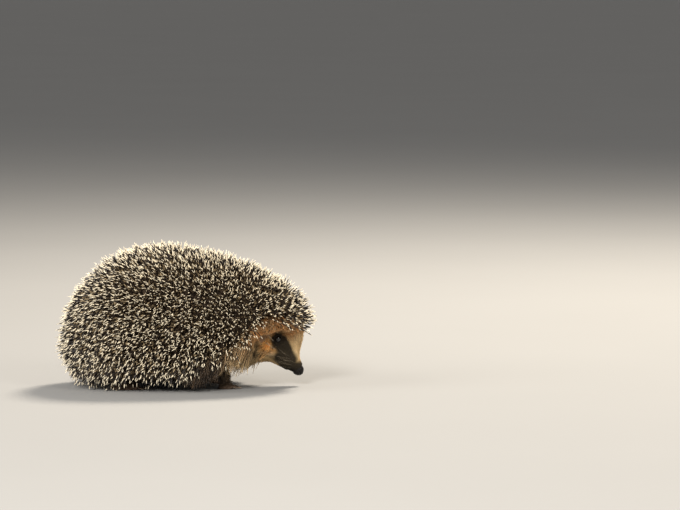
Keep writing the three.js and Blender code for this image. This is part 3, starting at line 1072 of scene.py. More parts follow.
@dataclass
class Skin:
    """One skin over the whole animal, with the fields that steer the coat.

    The skin is joined from simple closed forms, remeshed as one, smoothed and refined at the head and
    feet. Its named attributes say where spines and hair grow, how long they are and how they lie.
    """

    head: HeadForm
    coat_depth: float = 0.0160
    voxel: float = 0.00125
    tail_root: Place = (-0.084, 0.0, 0.0155)
    tail_run: Place = (-0.019, 0.0, -0.007)
    tail_radius: float = 0.0040
    tail_taper: float = 0.0022
    island_angle: float = math.radians(66)
    island_gap: float = 0.002
    map_border: float = 0.01
    ear_points: int = 0

    def build(self, finishes: Finishes) -> bpy.types.Object:
        """Makes the skin and replaces the solids of flesh.

        Args:
            finishes: The animal's materials.

        Returns:
            The skin.
        """
        mesh = self.refined(self.joined())
        self.unwrap(mesh)
        self.grow_fields(mesh)
        piece = place("skin", mesh)
        nodes = ["trunk_rump", "trunk_back", "trunk_shoulders", "neck", "head_crown", "belly", "tail"]
        nodes += ["muzzle", "face", "lower_jaw", "ear_left", "ear_right"]
        nodes += [limb.named(part) for limb in Limb for part in ("leg", "foot")]
        finish_piece(piece, finishes.skin, "skin", *nodes)
        return piece

    def joined(self) -> bpy.types.Mesh:
        """All the body's forms as one remeshed and smoothed skin.

        Returns:
            The skin's first mesh.
        """
        trunk = TrunkForm.under_coat(self.coat_depth)
        shells = [Shell.loft(trunk.sections()), Shell.loft(self.head.sections())]
        for limb in Limb:
            shells += place_foot(limb, PawForm.of(limb).leg_shells())
        t = np.linspace(0, 1, 8)
        tail = np.array(self.tail_root) + np.array(self.tail_run) * t[:, None]
        shells.append(Shell.tube(tail, self.tail_radius - self.tail_taper * t, 12))
        whole = place("skin forms", Shell.gather(shells).mesh("skin forms"))
        remesh = whole.modifiers.new("one skin", "REMESH")
        remesh.mode = "VOXEL"
        remesh.voxel_size = self.voxel
        soften = whole.modifiers.new("soften", "SMOOTH")
        soften.factor = 0.5
        soften.iterations = 5
        mesh = baked(whole, "skin")
        bpy.data.objects.remove(whole)
        return mesh

    def refined(self, mesh: bpy.types.Mesh) -> bpy.types.Mesh:
        """Finer faces on the head and feet, then the face's small forms, the flat soles and the ears.

        Args:
            mesh: The remeshed skin.

        Returns:
            The same mesh, with its fine forms.
        """
        work = bmesh.new()
        work.from_mesh(mesh)
        fine = [f for f in work.faces if self.is_fine(f.calc_center_median())]
        edges = list({e for f in fine for e in f.edges})
        bmesh.ops.subdivide_edges(work, edges=edges, cuts=1, use_grid_fill=True, smooth=0.8)
        bmesh.ops.triangulate(work, faces=[f for f in work.faces if len(f.verts) > 4])
        work.to_mesh(mesh)
        work.free()
        move_points(mesh, self.head.modelled(points_of(mesh), points_of(mesh, normals=True)))
        keep_above(mesh, SOLE_CLEARANCE)
        toes = [shell for limb in Limb for shell in place_foot(limb, PawForm.of(limb).toe_shells())]
        ears = Shell.gather([self.head.ear_shell(sign) for sign in SIDES.values()]).mesh("ears")
        self.ear_points = len(ears.vertices)
        work = bmesh.new()
        work.from_mesh(mesh)
        work.from_mesh(Shell.gather(toes).mesh("toes"))
        work.from_mesh(ears)
        work.to_mesh(mesh)
        work.free()
        mesh.shade_smooth()
        return mesh

    def is_fine(self, spot: Vector) -> bool:
        """Whether a place is on the face or a foot."""
        return spot.z < 0.0095 and abs(spot.y) < 0.045 or (spot.x > 0.066 and spot.z < 0.060)

    def unwrap(self, mesh: bpy.types.Mesh) -> None:
        """Unwraps the skin by its own shape into islands that fill the square.

        Args:
            mesh: The skin, which gets the bake map.
        """
        piece = place("unwrap", mesh)
        mesh.uv_layers.new(name=BAKE_MAP)
        bpy.ops.object.select_all(action="DESELECT")
        bpy.context.view_layer.objects.active = piece
        piece.select_set(True)
        bpy.ops.object.mode_set(mode="EDIT")
        bpy.ops.mesh.select_all(action="SELECT")
        bpy.ops.uv.smart_project(angle_limit=self.island_angle, margin_method="FRACTION",
                                 island_margin=self.island_gap)
        bpy.ops.object.mode_set(mode="OBJECT")
        flat = np.empty(len(mesh.loops) * 2, np.float32)
        layer = mesh.uv_layers[BAKE_MAP].uv
        layer.foreach_get("vector", flat)
        spread = flat.reshape(-1, 2)
        low, high = spread.min(0), spread.max(0)
        filled = (spread - low) / (high - low) * (1 - 2 * self.map_border) + self.map_border
        layer.foreach_set("vector", filled.ravel())
        bpy.data.objects.remove(piece)

    def grow_fields(self, mesh: bpy.types.Mesh) -> None:
        """Keeps on each vertex where spines and hair grow, how they lie and how long they are.

        Args:
            mesh: The finished skin.
        """
        fields = CoatFields(points_of(mesh), points_of(mesh, normals=True), self.head, self.ear_points)
        for name, values in fields.all().items():
            store(mesh, name, values)


@dataclass
class CoatFields:
    """What the coat does at each point of the skin."""

    p: Array
    n: Array
    head: HeadForm
    ear_points: int
    spine_edge: tuple[tuple[float, float], ...] = (
        (-0.020, 0.0090), (0.000, 0.0140), (0.010, 0.0260), (0.020, 0.0315), (0.030, 0.0330),
        (0.042, 0.0395), (0.053, 0.0500), (0.066, 0.0595), (0.078, 0.0615), (0.092, 0.0545),
        (0.100, 0.0500),
    )
    head_x: float = 0.058

    def lean(self, flow: Array, tilt: Array) -> Array:
        """Directions that leave the skin and lean along a flow.

        Args:
            flow: Where the coat is combed to, of length 1 or less.
            tilt: Angle from the skin's normal where the flow has length 1.

        Returns:
            Unit vectors.
        """
        along = flow - (flow * self.n).sum(1, keepdims=True) * self.n
        strength = np.minimum(np.linalg.norm(along, axis=1), 1.0) * np.sin(tilt)
        upright = np.sqrt(np.maximum(1 - strength**2, 0.02))
        return unit(self.n * upright[:, None] + unit(along) * strength[:, None])

    def spiny(self) -> Array:
        """1 where spines grow, 0 on the face, belly, legs and ears.

        Returns:
            A share for each point.
        """
        x, _, z = self.p.T
        limit = blend(-0.46, -0.75, smooth(x, 0.078, 0.090))
        tucked = smooth(x, -0.084, -0.090) * smooth(z, 0.021, 0.017)
        facing = smooth(self.n[:, 2] - limit, -0.27, 0.0)
        return smooth(self.over_edge(), 0.0, 0.0012) * facing * (1 - tucked)

    def over_edge(self) -> Array:
        """Height over the line where the spines begin."""
        return self.p[:, 2] - np.interp(self.p[:, 0], *zip(*self.spine_edge))

    def above_floor(self, lie: Array, length: Array | float, gap: float) -> Array:
        """Directions that are raised where a hair of the given length would reach the floor."""
        lie[:, 2] = np.maximum(lie[:, 2], -(self.p[:, 2] - gap) / length)
        return unit(lie)

    def spine_lie(self) -> Array:
        """Spines lean back along the back, down on the flanks and rump, and forwards on the crown.

        Returns:
            A unit vector for each point.
        """
        x, y, z = self.p.T
        flank = smooth(np.abs(y) / 0.052, 0.35, 1.0)
        rump = smooth(x, -0.040, -0.085)
        ones = np.ones_like(x)
        back = np.stack([-ones, 0 * x, -0.10 - 0.75 * flank - 0.9 * rump], -1)
        outwards = 0.35 * np.sign(y) * smooth(np.abs(y), 0, 0.02)
        crown = np.stack([0.9 * ones, outwards, -0.10 - 0.55 * flank], -1)
        flow = blend(unit(back), unit(crown), smooth(x, 0.015, 0.100))
        low = smooth(z, 0.040, 0.012) * smooth(x, 0.035, 0.010)
        tuck = smooth(x, -0.070, -0.090)
        down = np.stack([-0.30 + 0.60 * tuck, -0.4 * np.sign(y) * tuck, -ones], -1)
        flow = blend(flow, unit(down), low)
        hem = (30 + 14 * tuck) * low
        tilt = 26 + 6 * flank + 27 * rump * (1 - low) + hem + 8 * smooth(x, 0.06, 0.09)
        return self.above_floor(self.lean(flow, np.radians(tilt)), 0.0205, 0.0018)

    def hair_length(self) -> Array:
        """Length of the hair in metres, from the short muzzle fur to the long hair of the flanks.

        Returns:
            A length for each point.
        """
        x, y, z = self.p.T
        back, _, up = self.head.local(self.p)
        on_head = smooth(x, 0.054, 0.060)
        face = (1.3 + 2.4 * smooth(back, 8 * MM, 30 * MM) + 2.4 * smooth(up, 12 * MM, 19 * MM)) * MM
        eye = np.hypot(back - self.head.eye[0], up - self.head.eye[2])
        face = face * (0.30 + 0.70 * smooth(eye, 3.8 * MM, 9 * MM))
        ruff = blend(face, 20 * MM, smooth(back, 23 * MM, 36 * MM) * smooth(up, 3 * MM, -6 * MM))
        behind = blend(ruff, 12 * MM, smooth(back, 42 * MM, 50 * MM))
        ear = np.hypot(back - self.head.ear[0], up - self.head.ear[2])
        behind = blend(behind, 3.5 * MM, smooth(ear, 14 * MM, 9 * MM))
        lift = 3.5 * MM * bump_at(x - 0.0800, 7.0 * MM)
        fringe = blend(behind, 10 * MM, smooth(z - lift, 0.0490, 0.0530) * smooth(x, 0.066, 0.074))
        hanging = blend(23 * MM, 12 * MM, smooth(x, 0.012, -0.008))
        skirt = blend(9.5 * MM, hanging, smooth(np.abs(y), 0.016, 0.030) * smooth(z, 0.012, 0.020))
        body = blend(skirt, 2.0 * MM, smooth(z, 0.016, 0.0070) * smooth(self.n[:, 2], -0.90, -0.70))
        body = blend(body, 11 * MM, smooth(z, 0.024, 0.018) * (z > 0.012) * smooth(x, 0.000, 0.012))
        return blend(blend(body, fringe, on_head), 2.2 * MM, self.ear_mask())

    def ear_mask(self) -> Array:
        """1 on the ears, which are the skin's last points."""
        return (np.arange(len(self.p)) >= len(self.p) - self.ear_points).astype(float)

    def ear_inside(self) -> Array:
        """1 in the cup of each ear, whose points come before those of its back, fading to its rim.

        Returns:
            A share for each point.
        """
        order = np.arange(len(self.p)) - (len(self.p) - self.ear_points)
        one = self.ear_points // 2
        return smooth(order % one, 0.44 * one, 0.30 * one) * (order >= 0)

    def hair_lie(self) -> Array:
        """Hair lies back from the nose, hangs on the cheeks and flanks, and falls down the legs.

        Returns:
            A unit vector for each point.
        """
        x, y, z = self.p.T
        back, _, up = self.head.local(self.p)
        ones = np.ones_like(x)
        axis = np.array(self.head.frame().to_3x3() @ Vector((-1, 0, 0)))
        droop = -0.55 * smooth(back, 18 * MM, 40 * MM)
        face = axis[None, :] + np.stack([0 * x, 0.25 * np.sign(y), droop], -1)
        sweep = 0.15 + 0.45 * smooth(x, 0.030, 0.050) * smooth(z, 0.012, 0.030)
        hang = np.stack([-sweep, 0.15 * np.sign(y), -1.0 * ones], -1)
        fringe = np.stack([0.85 * ones, 0.30 * np.sign(y), -0.60 * ones], -1)
        belly = np.stack([-ones, 0 * x, -0.1 * ones], -1)
        loose = smooth(back, 25 * MM, 38 * MM) * smooth(up, 4 * MM, -5 * MM)
        flow = blend(unit(face), unit(hang), np.maximum(loose, smooth(back, 40 * MM, 52 * MM)))
        flow = blend(flow, unit(fringe), smooth(z, 0.044, 0.050) * smooth(x, 0.074, 0.084))
        body = blend(unit(belly), unit(hang), smooth(self.n[:, 2], -0.85, -0.45))
        flow = blend(body, flow, smooth(x, 0.054, 0.062))
        behind = x < self.head_x
        flat = smooth(x, 0.066, 0.076) * smooth(z, 0.050, 0.044) + smooth(z, 0.016, 0.010) * behind
        tilt = blend(64.0 * ones, 80.0, np.clip(flat, 0, 1))
        tilt = blend(tilt, 56.0, smooth(self.n[:, 2], -0.6, -0.85) * behind)
        lie = self.lean(flow, np.radians(tilt))
        return self.above_floor(lie, np.maximum(self.hair_length(), 2 * MM), 0.0008)

    def sole(self) -> Array:
        """1 where a foot faces the floor."""
        z = self.p[:, 2]
        return np.clip(smooth(self.n[:, 2], -0.5, -0.75) * (z < 0.004) + (z < 0.0012), 0, 1)

    def hairy(self) -> Array:
        """1 where hair grows, 0 under the spines and on the soles, the eyes and the nose.

        Returns:
            A share for each point.
        """
        x, _, z = self.p.T
        back, side, up = self.head.local(self.p)
        turned_under = smooth(self.n[:, 2], -0.30, -0.50) * (z < 0.030) * (x < self.head_x)
        hairy = np.maximum(smooth(self.over_edge(), 6.5 * MM, 3.0 * MM), turned_under) * (1 - self.sole())
        seen = np.array(self.head.eye)
        offs = [np.stack([back, side * sign, up], -1) - seen for sign in SIDES.values()]
        eye = np.minimum(*[np.linalg.norm(off, axis=1) for off in offs])
        hairy = hairy * smooth(eye, 3.3 * MM, 4.0 * MM) * smooth(back, 1.2 * MM, 3.0 * MM)
        return hairy * (1 - 0.93 * self.ear_inside())

    def all(self) -> dict[str, Array]:
        """Every field by name, with one growth mask for each piece of the coat.

        Returns:
            The fields' values by attribute name.
        """
        x, y, z = self.p.T
        spiny, hairy, length = self.spiny(), self.hairy(), self.hair_length()
        bare = np.clip(self.sole() + smooth(z, 0.0035, 0.0015), 0, 1)
        fields = {"spiny": spiny, "bare": bare, "ear_inside": self.ear_inside(),
                  "spine_lie": self.spine_lie(), "hair_lie": self.hair_lie(), "hair_length": length}
        for name, (low, high) in SPINE_REGIONS.items():
            fields["grow_spines_" + name] = spiny * (x >= low) * (x < high)
        head = x > self.head_x
        long_hair = smooth(length, 7.5 * MM, 9 * MM)
        flank = hairy * long_hair * (z > 0.012)
        skirt = np.maximum(smooth(self.n[:, 2], -0.80, -0.55), head)
        for name, half in (("left", y >= 0), ("right", y < 0)):
            fields["grow_hair_skirt_" + name] = flank * skirt * half
            fields["grow_hair_face_" + name] = hairy * (1 - long_hair) * head * half
        fields["grow_hair_under"] = hairy * np.maximum(1 - skirt, 0.35 * (z < 0.012)) * (1 - head)
        belly = smooth(self.n[:, 2], -0.6, -0.8) * smooth(z, 0.004, 0.006)
        fields["grow_hair_legs"] = hairy * smooth(z, 0.020, 0.012) * (1 - head) * (1 - belly)
        return {name: np.asarray(values, float) for name, values in fields.items()}


# ---- The coat --------------------------------------------------------------------------------------


@dataclass(frozen=True)
class TuftShape:
    """A lock of a few strands, or one spine, standing along +Z from the origin and bending to +X.

    Its knots run from 0 at the root to 1 at the tip, each with its share of the radius.
    """

    length: float
    radius: float
    knots: tuple[float, ...]
    widths: tuple[float, ...]
    strands: int = 1
    sides: int = 3
    bow: float = 0.0
    splay: float = 0.0
    wave: float = 0.0

    def mesh(self, name: str, seed: int) -> bpy.types.Mesh:
        """The lock as one mesh, with a strand map: its u counts the strands, its v runs to the tip.

        Args:
            name: The mesh's name.
            seed: Seed of the strands' differences.

        Returns:
            The mesh.
        """
        rng = np.random.default_rng(seed)
        t = np.array(self.knots)
        shells = []
        for _ in range(self.strands):
            long = self.length * rng.uniform(0.74, 1.0) if self.strands > 1 else self.length
            turn = rng.uniform(0, 2 * math.pi)
            spread = self.splay * long * rng.uniform(0.4, 1.0)
            start = rng.normal(0, 1.3, 2) * self.radius * (self.strands > 1)
            phase = rng.uniform(0, 2 * math.pi)
            sway = self.wave * long * (np.sin(5 * t + phase) - math.sin(phase)) * t
            x = start[0] + self.bow * long * t**2 + spread * math.cos(turn) * t**1.4 + sway
            y = start[1] + spread * math.sin(turn) * t**1.4 + 0.6 * sway
            path = np.stack([x, y, long * t * (1 - 0.35 * self.bow * t)], -1)
            shells.append(Shell.tube(path, self.radius * np.array(self.widths), self.sides))
        mesh = Shell.gather(shells).mesh(name)
        mark_strands(mesh, t, self.sides)
        return mesh


def mark_strands(mesh: bpy.types.Mesh, knots: Array, sides: int) -> None:
    """Adds the strand map to a mesh of equal tubes.

    Args:
        mesh: Tubes with the same knots, one after the other.
        knots: Place of each knot along a tube, from 0 to 1.
        sides: Number of sides of each tube.
    """
    along = np.append(np.repeat(knots[1:-1], sides), knots[[0, -1]])
    across = np.append(np.tile(np.arange(sides) / sides, len(knots) - 2), [0.5, 0.5])
    count = len(mesh.vertices) // len(along)
    across = (np.arange(count)[:, None] + 0.1 + 0.8 * across[None, :]) / count
    corner = np.empty(len(mesh.loops), np.int32)
    mesh.loops.foreach_get("vertex_index", corner)
    spread = np.stack([across.ravel()[corner], np.tile(along, count)[corner]], -1)
    layer = mesh.uv_layers.new(name=STRAND_MAP)
    layer.uv.foreach_set("vector", spread.astype(np.float32).ravel())


class ScatterTree:
    """The Geometry Nodes tree that plants tufts on the skin and turns them into one mesh."""

    INPUTS = {"Grow": "NodeSocketString", "Lie": "NodeSocketString", "Length": "NodeSocketString",
              "Tuft A": "NodeSocketObject", "Tuft B": "NodeSocketObject", "Spacing": "NodeSocketFloat",
              "Density": "NodeSocketFloat", "Unruly": "NodeSocketFloat", "Uneven": "NodeSocketFloat",
              "Tuft Length": "NodeSocketFloat", "Patch": "NodeSocketFloat", "Seed": "NodeSocketInt",
              "Material": "NodeSocketMaterial"}

    def __init__(self) -> None:
        """Builds the tree once, for every piece of the coat."""
        self.tree = bpy.data.node_groups.new("plant tufts", "GeometryNodeTree")
        face = self.tree.interface
        face.new_socket("Geometry", in_out="INPUT", socket_type="NodeSocketGeometry")
        face.new_socket("Geometry", in_out="OUTPUT", socket_type="NodeSocketGeometry")
        for name, kind in self.INPUTS.items():
            face.new_socket(name, in_out="INPUT", socket_type=kind)
        self.graph = Graph(self.tree)
        self.group = self.graph.node("NodeGroupInput")
        self.wire()

    def given(self, name: str) -> Val:
        """One of the tree's named inputs."""
        return self.graph.other(self.group, name)

    def named(self, name: Val | str, kind: str = "FLOAT_VECTOR") -> Val:
        """An attribute of the geometry by name."""
        return self.graph.node("GeometryNodeInputNamedAttribute", {"data_type": kind}, {"Name": name})

    def random(self, low: Val | float, high: Val | float, shift: int, vector: bool = False) -> Val:
        """A random number or vector for each tuft, fixed by the seed.

        Args:
            low: Least value.
            high: Greatest value.
            shift: What is added to the seed.
            vector: Whether each of three axes gets its own number.

        Returns:
            The random value.
        """
        kind, ends, output = "FLOAT", {2: low, 3: high}, 1
        if vector:
            kind, ends, output = "FLOAT_VECTOR", {0: (low,) * 3, 1: (high,) * 3}, 0
        inputs = {**ends, "Seed": self.given("Seed") + float(shift)}
        return self.graph.node("FunctionNodeRandomValue", {"data_type": kind}, inputs, output)

    def keep(self, geometry: Val, name: str, value: Val, kind: str, domain: str = "POINT") -> Val:
        """Stores a value on the geometry by name."""
        return self.graph.node("GeometryNodeStoreNamedAttribute", {"data_type": kind, "domain": domain},
                               {"Geometry": geometry, "Name": name, "Value": value})

    def wire(self) -> None:
        """Adds the nodes: points, turns and sizes, tufts, and the bake map of their roots."""
        g = self.graph
        grow = self.named(self.given("Grow"), "FLOAT")
        points = g.node("GeometryNodeDistributePointsOnFaces", {"distribute_method": "POISSON"},
                        {"Mesh": self.given("Geometry"), "Distance Min": self.given("Spacing"),
                         "Density Max": self.given("Density"), "Density Factor": grow,
                         "Seed": self.given("Seed")})
        normal = g.other(points, "Normal")
        points = self.keep(points, "root", g.node("GeometryNodeInputPosition"), "FLOAT_VECTOR")
        points = self.keep(points, "tone", self.random(0.0, 1.0, 1), "FLOAT")
        points = self.keep(points, "root_map", self.named(BAKE_MAP), "FLOAT_VECTOR")
        points = g.node("GeometryNodeRemoveAttribute", inputs={"Geometry": points, "Name": BAKE_MAP})
        shake = g.vector("SCALE", self.random(-1.0, 1.0, 2, vector=True), self.given("Unruly"))
        lie = g.vector("ADD", self.named(self.given("Lie")), shake)
        upright = g.node("FunctionNodeAlignRotationToVector", {"axis": "Z"}, {"Vector": lie})
        flat = g.vector("SCALE", normal, -1.0)
        turned = g.node("FunctionNodeAlignRotationToVector", {"axis": "X", "pivot_axis": "Z"},
                        {"Rotation": upright, "Vector": flat})
        about = {"Axis": (0.0, 0.0, 1.0), "Angle": self.random(-0.9, 0.9, 3)}
        spin = g.node("FunctionNodeAxisAngleToRotation", inputs=about)
        turned = g.node("FunctionNodeRotateRotation", {"rotation_space": "LOCAL"},
                        {"Rotation": turned, "Rotate By": spin})
        even = self.random(1.0 - self.given("Uneven"), 1.0 + self.given("Uneven") * 0.5, 4)
        length = self.named(self.given("Length"), "FLOAT")
        size = length.math("DIVIDE", self.given("Tuft Length")) * even
        both = g.node("GeometryNodeJoinGeometry")
        for name in ("Tuft B", "Tuft A"):
            tuft = g.node("GeometryNodeObjectInfo", inputs={"Object": self.given(name)}, output="Geometry")
            whole = g.node("GeometryNodeGeometryToInstance", inputs={0: tuft})
            g.tree.links.new(whole.socket, both.socket.node.inputs[0])
        width = size.math("SQRT")
        scale = g.node("ShaderNodeCombineXYZ", inputs={0: width, 1: width, 2: size})
        planted = g.node("GeometryNodeInstanceOnPoints", inputs={
            "Points": points, "Instance": both, "Pick Instance": True, "Rotation": turned, "Scale": scale,
            "Instance Index": self.random(0.0, 1.999, 5).math("FLOOR")})
        solid = g.node("GeometryNodeRealizeInstances", inputs={0: planted})
        local = g.vector("SUBTRACT", self.named(STRAND_MAP), (0.5, 0.5, 0.0))
        patch = g.vector("ADD", self.named("root_map"), g.vector("SCALE", local, self.given("Patch")))
        solid = self.keep(solid, BAKE_MAP, patch, "FLOAT2", "CORNER")
        dressed = {"Geometry": solid, "Material": self.given("Material")}
        solid = g.node("GeometryNodeSetMaterial", inputs=dressed)
        g.node("NodeGroupOutput", inputs={0: solid})


class Growth(Enum):
    """What grows in a piece of the coat: its material slot, and the first word of its fields."""

    SPINES = ("spines", "spine")
    HAIR = ("hair", "hair")


@dataclass(frozen=True)
class CoatPiece:
    """One piece of the coat: a kind of tuft over one region of the skin.

    Crowding is the number of places tried in each square of the spacing, and patch is the side of each
    tuft's own square on the bake map.
    """

    growth: Growth
    region: str
    tuft: TuftShape
    spacing: float
    unruly: float
    uneven: float
    seed: int
    crowding: float = 2.2
    patch: float = 0.003

    KEPT = ("root", "tone", STRAND_MAP, BAKE_MAP, "position", "sharp_face", "material_index")

    def build(self, skin: bpy.types.Object, tree: ScatterTree, material: bpy.types.Material) -> None:
        """Plants the tufts and leaves them as one plain mesh.

        Args:
            skin: The skin with its growth fields.
            tree: The planting tree.
            material: The tufts' finish.
        """
        slot, word = self.growth.value
        name = f"{slot}_{self.region}"
        tufts = [place(f"{name} tuft {i}", self.tuft.mesh(name, self.seed + i)) for i in range(2)]
        bed = place(name + " bed", skin.data)
        modifier = bed.modifiers.new("coat", "NODES")
        modifier.node_group = tree.tree
        values = {"Grow": "grow_" + name, "Lie": word + "_lie", "Length": word + "_length",
                  "Tuft A": tufts[0], "Tuft B": tufts[1], "Spacing": self.spacing,
                  "Density": self.crowding / self.spacing**2, "Unruly": self.unruly, "Uneven": self.uneven,
                  "Seed": self.seed, "Tuft Length": self.tuft.length, "Patch": self.patch,
                  "Material": material}
        for item in tree.tree.interface.items_tree:
            if item.name in values:
                modifier[item.identifier] = values[item.name]
        mesh = baked(bed, name)
        for spare in (bed, *tufts):
            bpy.data.objects.remove(spare)
        names = [layer.name for layer in mesh.attributes]
        for spare in (n for n in names if not n.startswith(".") and n not in self.KEPT):
            mesh.attributes.remove(mesh.attributes[spare])
        keep_above(mesh, FLOOR_CLEARANCE)
        mesh.shade_smooth()
        finish_piece(place(name, mesh), material, slot)


@dataclass(frozen=True)
class Coat:
    """All the spines and hair."""

    spine: TuftShape = TuftShape(0.0190, 0.00052, (0.0, 0.03, 0.35, 0.76, 0.93, 1.0),
                                 (0, 0.7, 1, 0.84, 0.42, 0), sides=5, bow=0.05)
    long: TuftShape = TuftShape(0.0220, 0.00021, (0.0, 0.05, 0.35, 0.65, 0.88, 1.0),
                                (0, 0.85, 1, 0.85, 0.5, 0), strands=4, bow=0.12, splay=0.12, wave=0.02)
    short: TuftShape = TuftShape(0.0040, 0.00012, (0.0, 0.10, 0.50, 0.85, 1.0),
                                 (0, 0.9, 1, 0.55, 0), strands=3, bow=0.12, splay=0.16)

    def pieces(self) -> list[CoatPiece]:
        """Every piece, from the rump's spines to the legs' hair.

        Returns:
            The pieces in the order of planting.
        """
        made = [CoatPiece(Growth.SPINES, region, self.spine, 1.64 * MM, 0.52, 0.16, 11 + 7 * i)
                for i, region in enumerate(SPINE_REGIONS)]
        hair = (
            ("skirt_left", self.long, 1.05 * MM, 0.22, 0.30, 101),
            ("skirt_right", self.long, 1.05 * MM, 0.22, 0.30, 111),
            ("under", self.long, 2.2 * MM, 0.18, 0.25, 131),
            ("face_left", self.short, 0.56 * MM, 0.10, 0.22, 151),
            ("face_right", self.short, 0.56 * MM, 0.10, 0.22, 161),
            ("legs", self.short, 0.80 * MM, 0.12, 0.22, 171),
        )
        return made + [CoatPiece(Growth.HAIR, *sizes) for sizes in hair]

    def build(self, skin: bpy.types.Object, finishes: Finishes) -> None:
        """Plants every piece of the coat on the skin.

        Args:
            skin: The skin with its growth fields.
            finishes: The animal's materials.
        """
        store(skin.data, "spine_length", np.full(len(skin.data.vertices), self.spine.length))
        tree = ScatterTree()
        dress = {self.spine: finishes.spine, self.long: finishes.hair, self.short: finishes.fur}
        for piece in self.pieces():
            piece.build(skin, tree, dress[piece.tuft])


# ---- Eyes, nose, claws and whiskers ----------------------------------------------------------------


@dataclass
class Face:
    """The eyes, nose and whiskers of the head."""

    head: HeadForm
    nose_radii: Place = (0.0050, 0.0045, 0.0050)
    nose_back: float = 0.0010
    nose_drop: float = 0.0004
    whiskers: int = 11
    whisker_radius: float = 0.050 * MM
    bristle_radius: float = 0.21 * MM
    bristles: tuple[tuple[Place, Place], ...] = (((0.0675, 0.0240, 0.0515), (0.0760, 0.0200, 0.0410)),
                                                 ((0.0669, 0.0245, 0.0423), (0.0780, 0.0175, 0.0335)))

    def build(self, finishes: Finishes) -> None:
        """Makes each piece of the face.

        Args:
            finishes: The animal's materials.
        """
        back, side, up = self.head.eye
        for name, sign in SIDES.items():
            ball = Shell.egg((self.head.eye_radius,) * 3, self.head.spot(back, sign * side, up), 36, 24)
            eyeball = place("eyeball_" + name, ball.mesh("eyeball"))
            finish_piece(eyeball, finishes.eye, "eye", "eye_" + name)
        nose = place("nose_tip", self.nose_shell().mesh("nose_tip"))
        finish_piece(nose, finishes.nose, "nose_skin", "nose")
        self.whisker_piece(finishes)

    def nose_shell(self) -> Shell:
        """The nose pad, with two side slits as nostrils and a groove between them.

        Returns:
            The pad, in its place on the head.
        """
        ball = Shell.egg(self.nose_radii, (0.0, 0.0, 0.0), 72, 48)
        p = ball.points
        x, y, z = p.T
        front = smooth(x, 0.2 * MM, 1.8 * MM)
        hole = np.hypot((np.abs(y) - 1.85 * MM) / 0.85, (z + 0.1 * MM) / 0.95)
        rising = z + 0.6 * MM - 0.25 * (np.abs(y) - 2 * MM)
        slit = np.hypot((np.abs(y) - 3.1 * MM) / 1.5, rising / 0.45)
        depth = 2.1 * MM * bump_at(hole, 1.0 * MM) * front
        depth = depth + 1.0 * MM * bump_at(slit, 1.0 * MM) * smooth(x, 0, MM)
        rim = 0.35 * MM * bump_at(hole - 1.8 * MM, 0.6 * MM) * front
        groove = 0.40 * MM * bump_at(y, 0.35 * MM) * front * smooth(z, 2.2 * MM, 0.4 * MM)
        sunk = np.array([self.nose_back, 0.0, self.nose_drop])
        p = p - unit(p) * (depth + groove - rim)[:, None] - sunk
        return Shell(p, ball.faces).moved(self.head.frame())

    def whisker_piece(self, finishes: Finishes) -> None:
        """Whiskers on both sides of the muzzle, swept back and down, and bristles over the cheeks.

        Args:
            finishes: The animal's materials.
        """
        rng = np.random.default_rng(5)
        sides = 5
        shells = []
        t = np.linspace(0, 1, 9)
        for sign in SIDES.values():
            for i in range(self.whiskers):
                back = (6.0 + 9.0 * (i % 4) / 3 + rng.uniform(-0.6, 0.6)) * MM
                up = (1.8 - 2.6 * (i // 4) + rng.uniform(-0.5, 0.5)) * MM
                side = (3.9 * MM + 0.27 * back) * sign
                long = rng.uniform(12, 21) * MM
                aim = unit(np.array([-0.75, sign * rng.uniform(0.7, 1.0), rng.uniform(-0.5, 0.25)]))
                sag = np.stack([-0.18 * t**2, 0 * t, -0.25 * t**2], -1)
                path = np.array([-back, side, up]) + long * (aim * t[:, None] + sag)
                shells.append(Shell.tube(path, self.whisker_radius * (1 - 0.85 * t), sides))
        shells = [shell.moved(self.head.frame()) for shell in shells]
        for sign in SIDES.values():
            for start, end in self.bristles:
                mirror = np.array([1.0, sign, 1.0])
                path = np.array(start) * mirror + (np.array(end) - start) * mirror * t[:, None]
                path[:, 1] += sign * (1.2 * MM + 1.0 * MM * np.sin(math.pi * t))
                shells.append(Shell.tube(path, self.bristle_radius * (1 - 0.6 * t), sides))
        mesh = Shell.gather(shells).mesh("whiskers")
        mark_strands(mesh, t, sides)
        finish_piece(place("whiskers", mesh), finishes.whisker, "hair")


@dataclass(frozen=True)
class Claws:
    """The claws of all four feet, one piece for each foot."""

    clearance: float = 0.2 * MM

    def build(self, finishes: Finishes) -> None:
        """Makes the four sets of claws.

        Args:
            finishes: The animal's materials.
        """
        for limb in Limb:
            shells = place_foot(limb, PawForm.of(limb).claw_shells())
            mesh = Shell.gather(shells).mesh("claws")
            keep_above(mesh, self.clearance)
            mark_strands(mesh, np.linspace(0, 1, CLAW_KNOTS), CLAW_SIDES)
            finish_piece(place("claws_" + limb.named(), mesh), finishes.claw, "claw")


# ---- The stage -------------------------------------------------------------------------------------


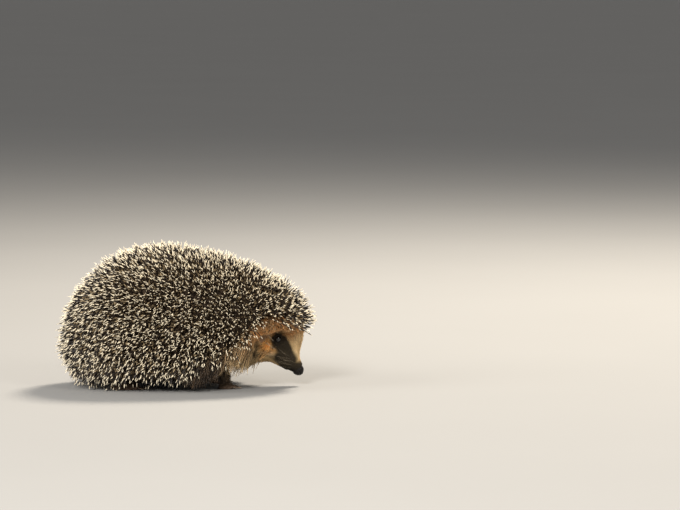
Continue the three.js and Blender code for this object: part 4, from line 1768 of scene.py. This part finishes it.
@dataclass(frozen=True)
class Stage:
    """Pale floor, soft light and the camera."""

    scale: float = 0.875 * MM  # metres to one pixel at the animal
    width: int = 680
    lens: float = 200.0
    sensor: float = 36.0
    elevation: float = math.radians(5.0)
    aim: Place = (0.1334, 0.0, 0.1151)
    lit: Place = (0.0, 0.0, 0.05)
    floor_radius: float = 40.0
    lights: tuple[tuple[str, Place, float, float, Colour], ...] = (
        ("sun side", (0.75, 1.1, 1.7), 0.5, 88.0, (1.0, 0.90, 0.76)),
        ("front", (-0.55, -1.9, 1.30), 0.6, 55.0, (1.0, 0.96, 0.90)),
        ("face side", (1.4, -1.5, 1.2), 0.6, 17.0, (1.0, 0.94, 0.84)),
        ("rear", (-1.8, -0.7, 1.1), 0.9, 24.0, (1.0, 0.95, 0.88)),
    )

    def build(self) -> None:
        """Makes the floor, the lights and the camera."""
        self.floor()
        self.world()
        for light in self.lights:
            self.light(*light)
        self.camera()

    def floor(self) -> None:
        """A wide pale disc."""
        turn = full_turn(96)
        points = np.stack([np.cos(turn), np.sin(turn), 0 * turn], -1) * self.floor_radius
        mesh = bpy.data.meshes.new("floor")
        mesh.from_pydata(points.tolist(), [], [tuple(range(len(turn)))])
        mesh.materials.append(Finish("pale floor", 0.85).build(self.floor_paint))
        place("floor", mesh)

    def floor_paint(self, graph: Graph) -> dict[str, Val]:
        """Grey with faint clouds."""
        clouds = graph.noise(3.0)
        return {"Base Color": graph.mix((0.240, 0.240, 0.239), (0.256, 0.256, 0.255), clouds)}

    def world(self) -> None:
        """Even, pale surroundings."""
        world = bpy.data.worlds.new("studio")
        world.use_nodes = True
        shade = world.node_tree.nodes["Background"]
        shade.inputs["Color"].default_value = (1.0, 0.975, 0.94, 1.0)
        shade.inputs["Strength"].default_value = 0.38
        bpy.context.scene.world = world
        bpy.context.scene.view_settings.view_transform = "Standard"

    def light(self, name: str, spot: Place, size: float, power: float, colour: Colour) -> None:
        """A square soft light that faces the animal.

        Args:
            name: The light's name.
            spot: Where it hangs, in metres.
            size: Length of its sides.
            power: Its power in watts.
            colour: Its colour.
        """
        data = bpy.data.lights.new(name, "AREA")
        data.size = size
        data.energy = power
        data.color = colour
        lamp = bpy.data.objects.new(name, data)
        lamp.location = spot
        lamp.rotation_euler = (Vector(self.lit) - Vector(spot)).to_track_quat("-Z", "Y").to_euler()
        bpy.context.scene.collection.objects.link(lamp)

    def camera(self) -> None:
        """A long lens, a little over the floor, with the animal at the left of the frame."""
        data = bpy.data.cameras.new("camera")
        data.lens = self.lens
        data.sensor_width = self.sensor
        data.clip_end = 100.0
        away = self.scale * self.width * self.lens / self.sensor
        camera = bpy.data.objects.new("camera", data)
        back = Vector((0.0, -math.cos(self.elevation), math.sin(self.elevation)))
        camera.location = Vector(self.aim) + back * away
        camera.rotation_euler = (-back).to_track_quat("-Z", "Y").to_euler()
        bpy.context.scene.collection.objects.link(camera)
        bpy.context.scene.camera = camera


def main() -> None:
    """Builds the animal from the skin outwards."""
    logging.basicConfig(level=logging.INFO, format="%(message)s")
    finishes = Finishes.make()
    head = HeadForm()
    Stage().build()
    skin = Skin(head).build(finishes)
    Face(head).build(finishes)
    Claws().build(finishes)
    Coat().build(skin, finishes)


if __name__ == "__main__":
    main()
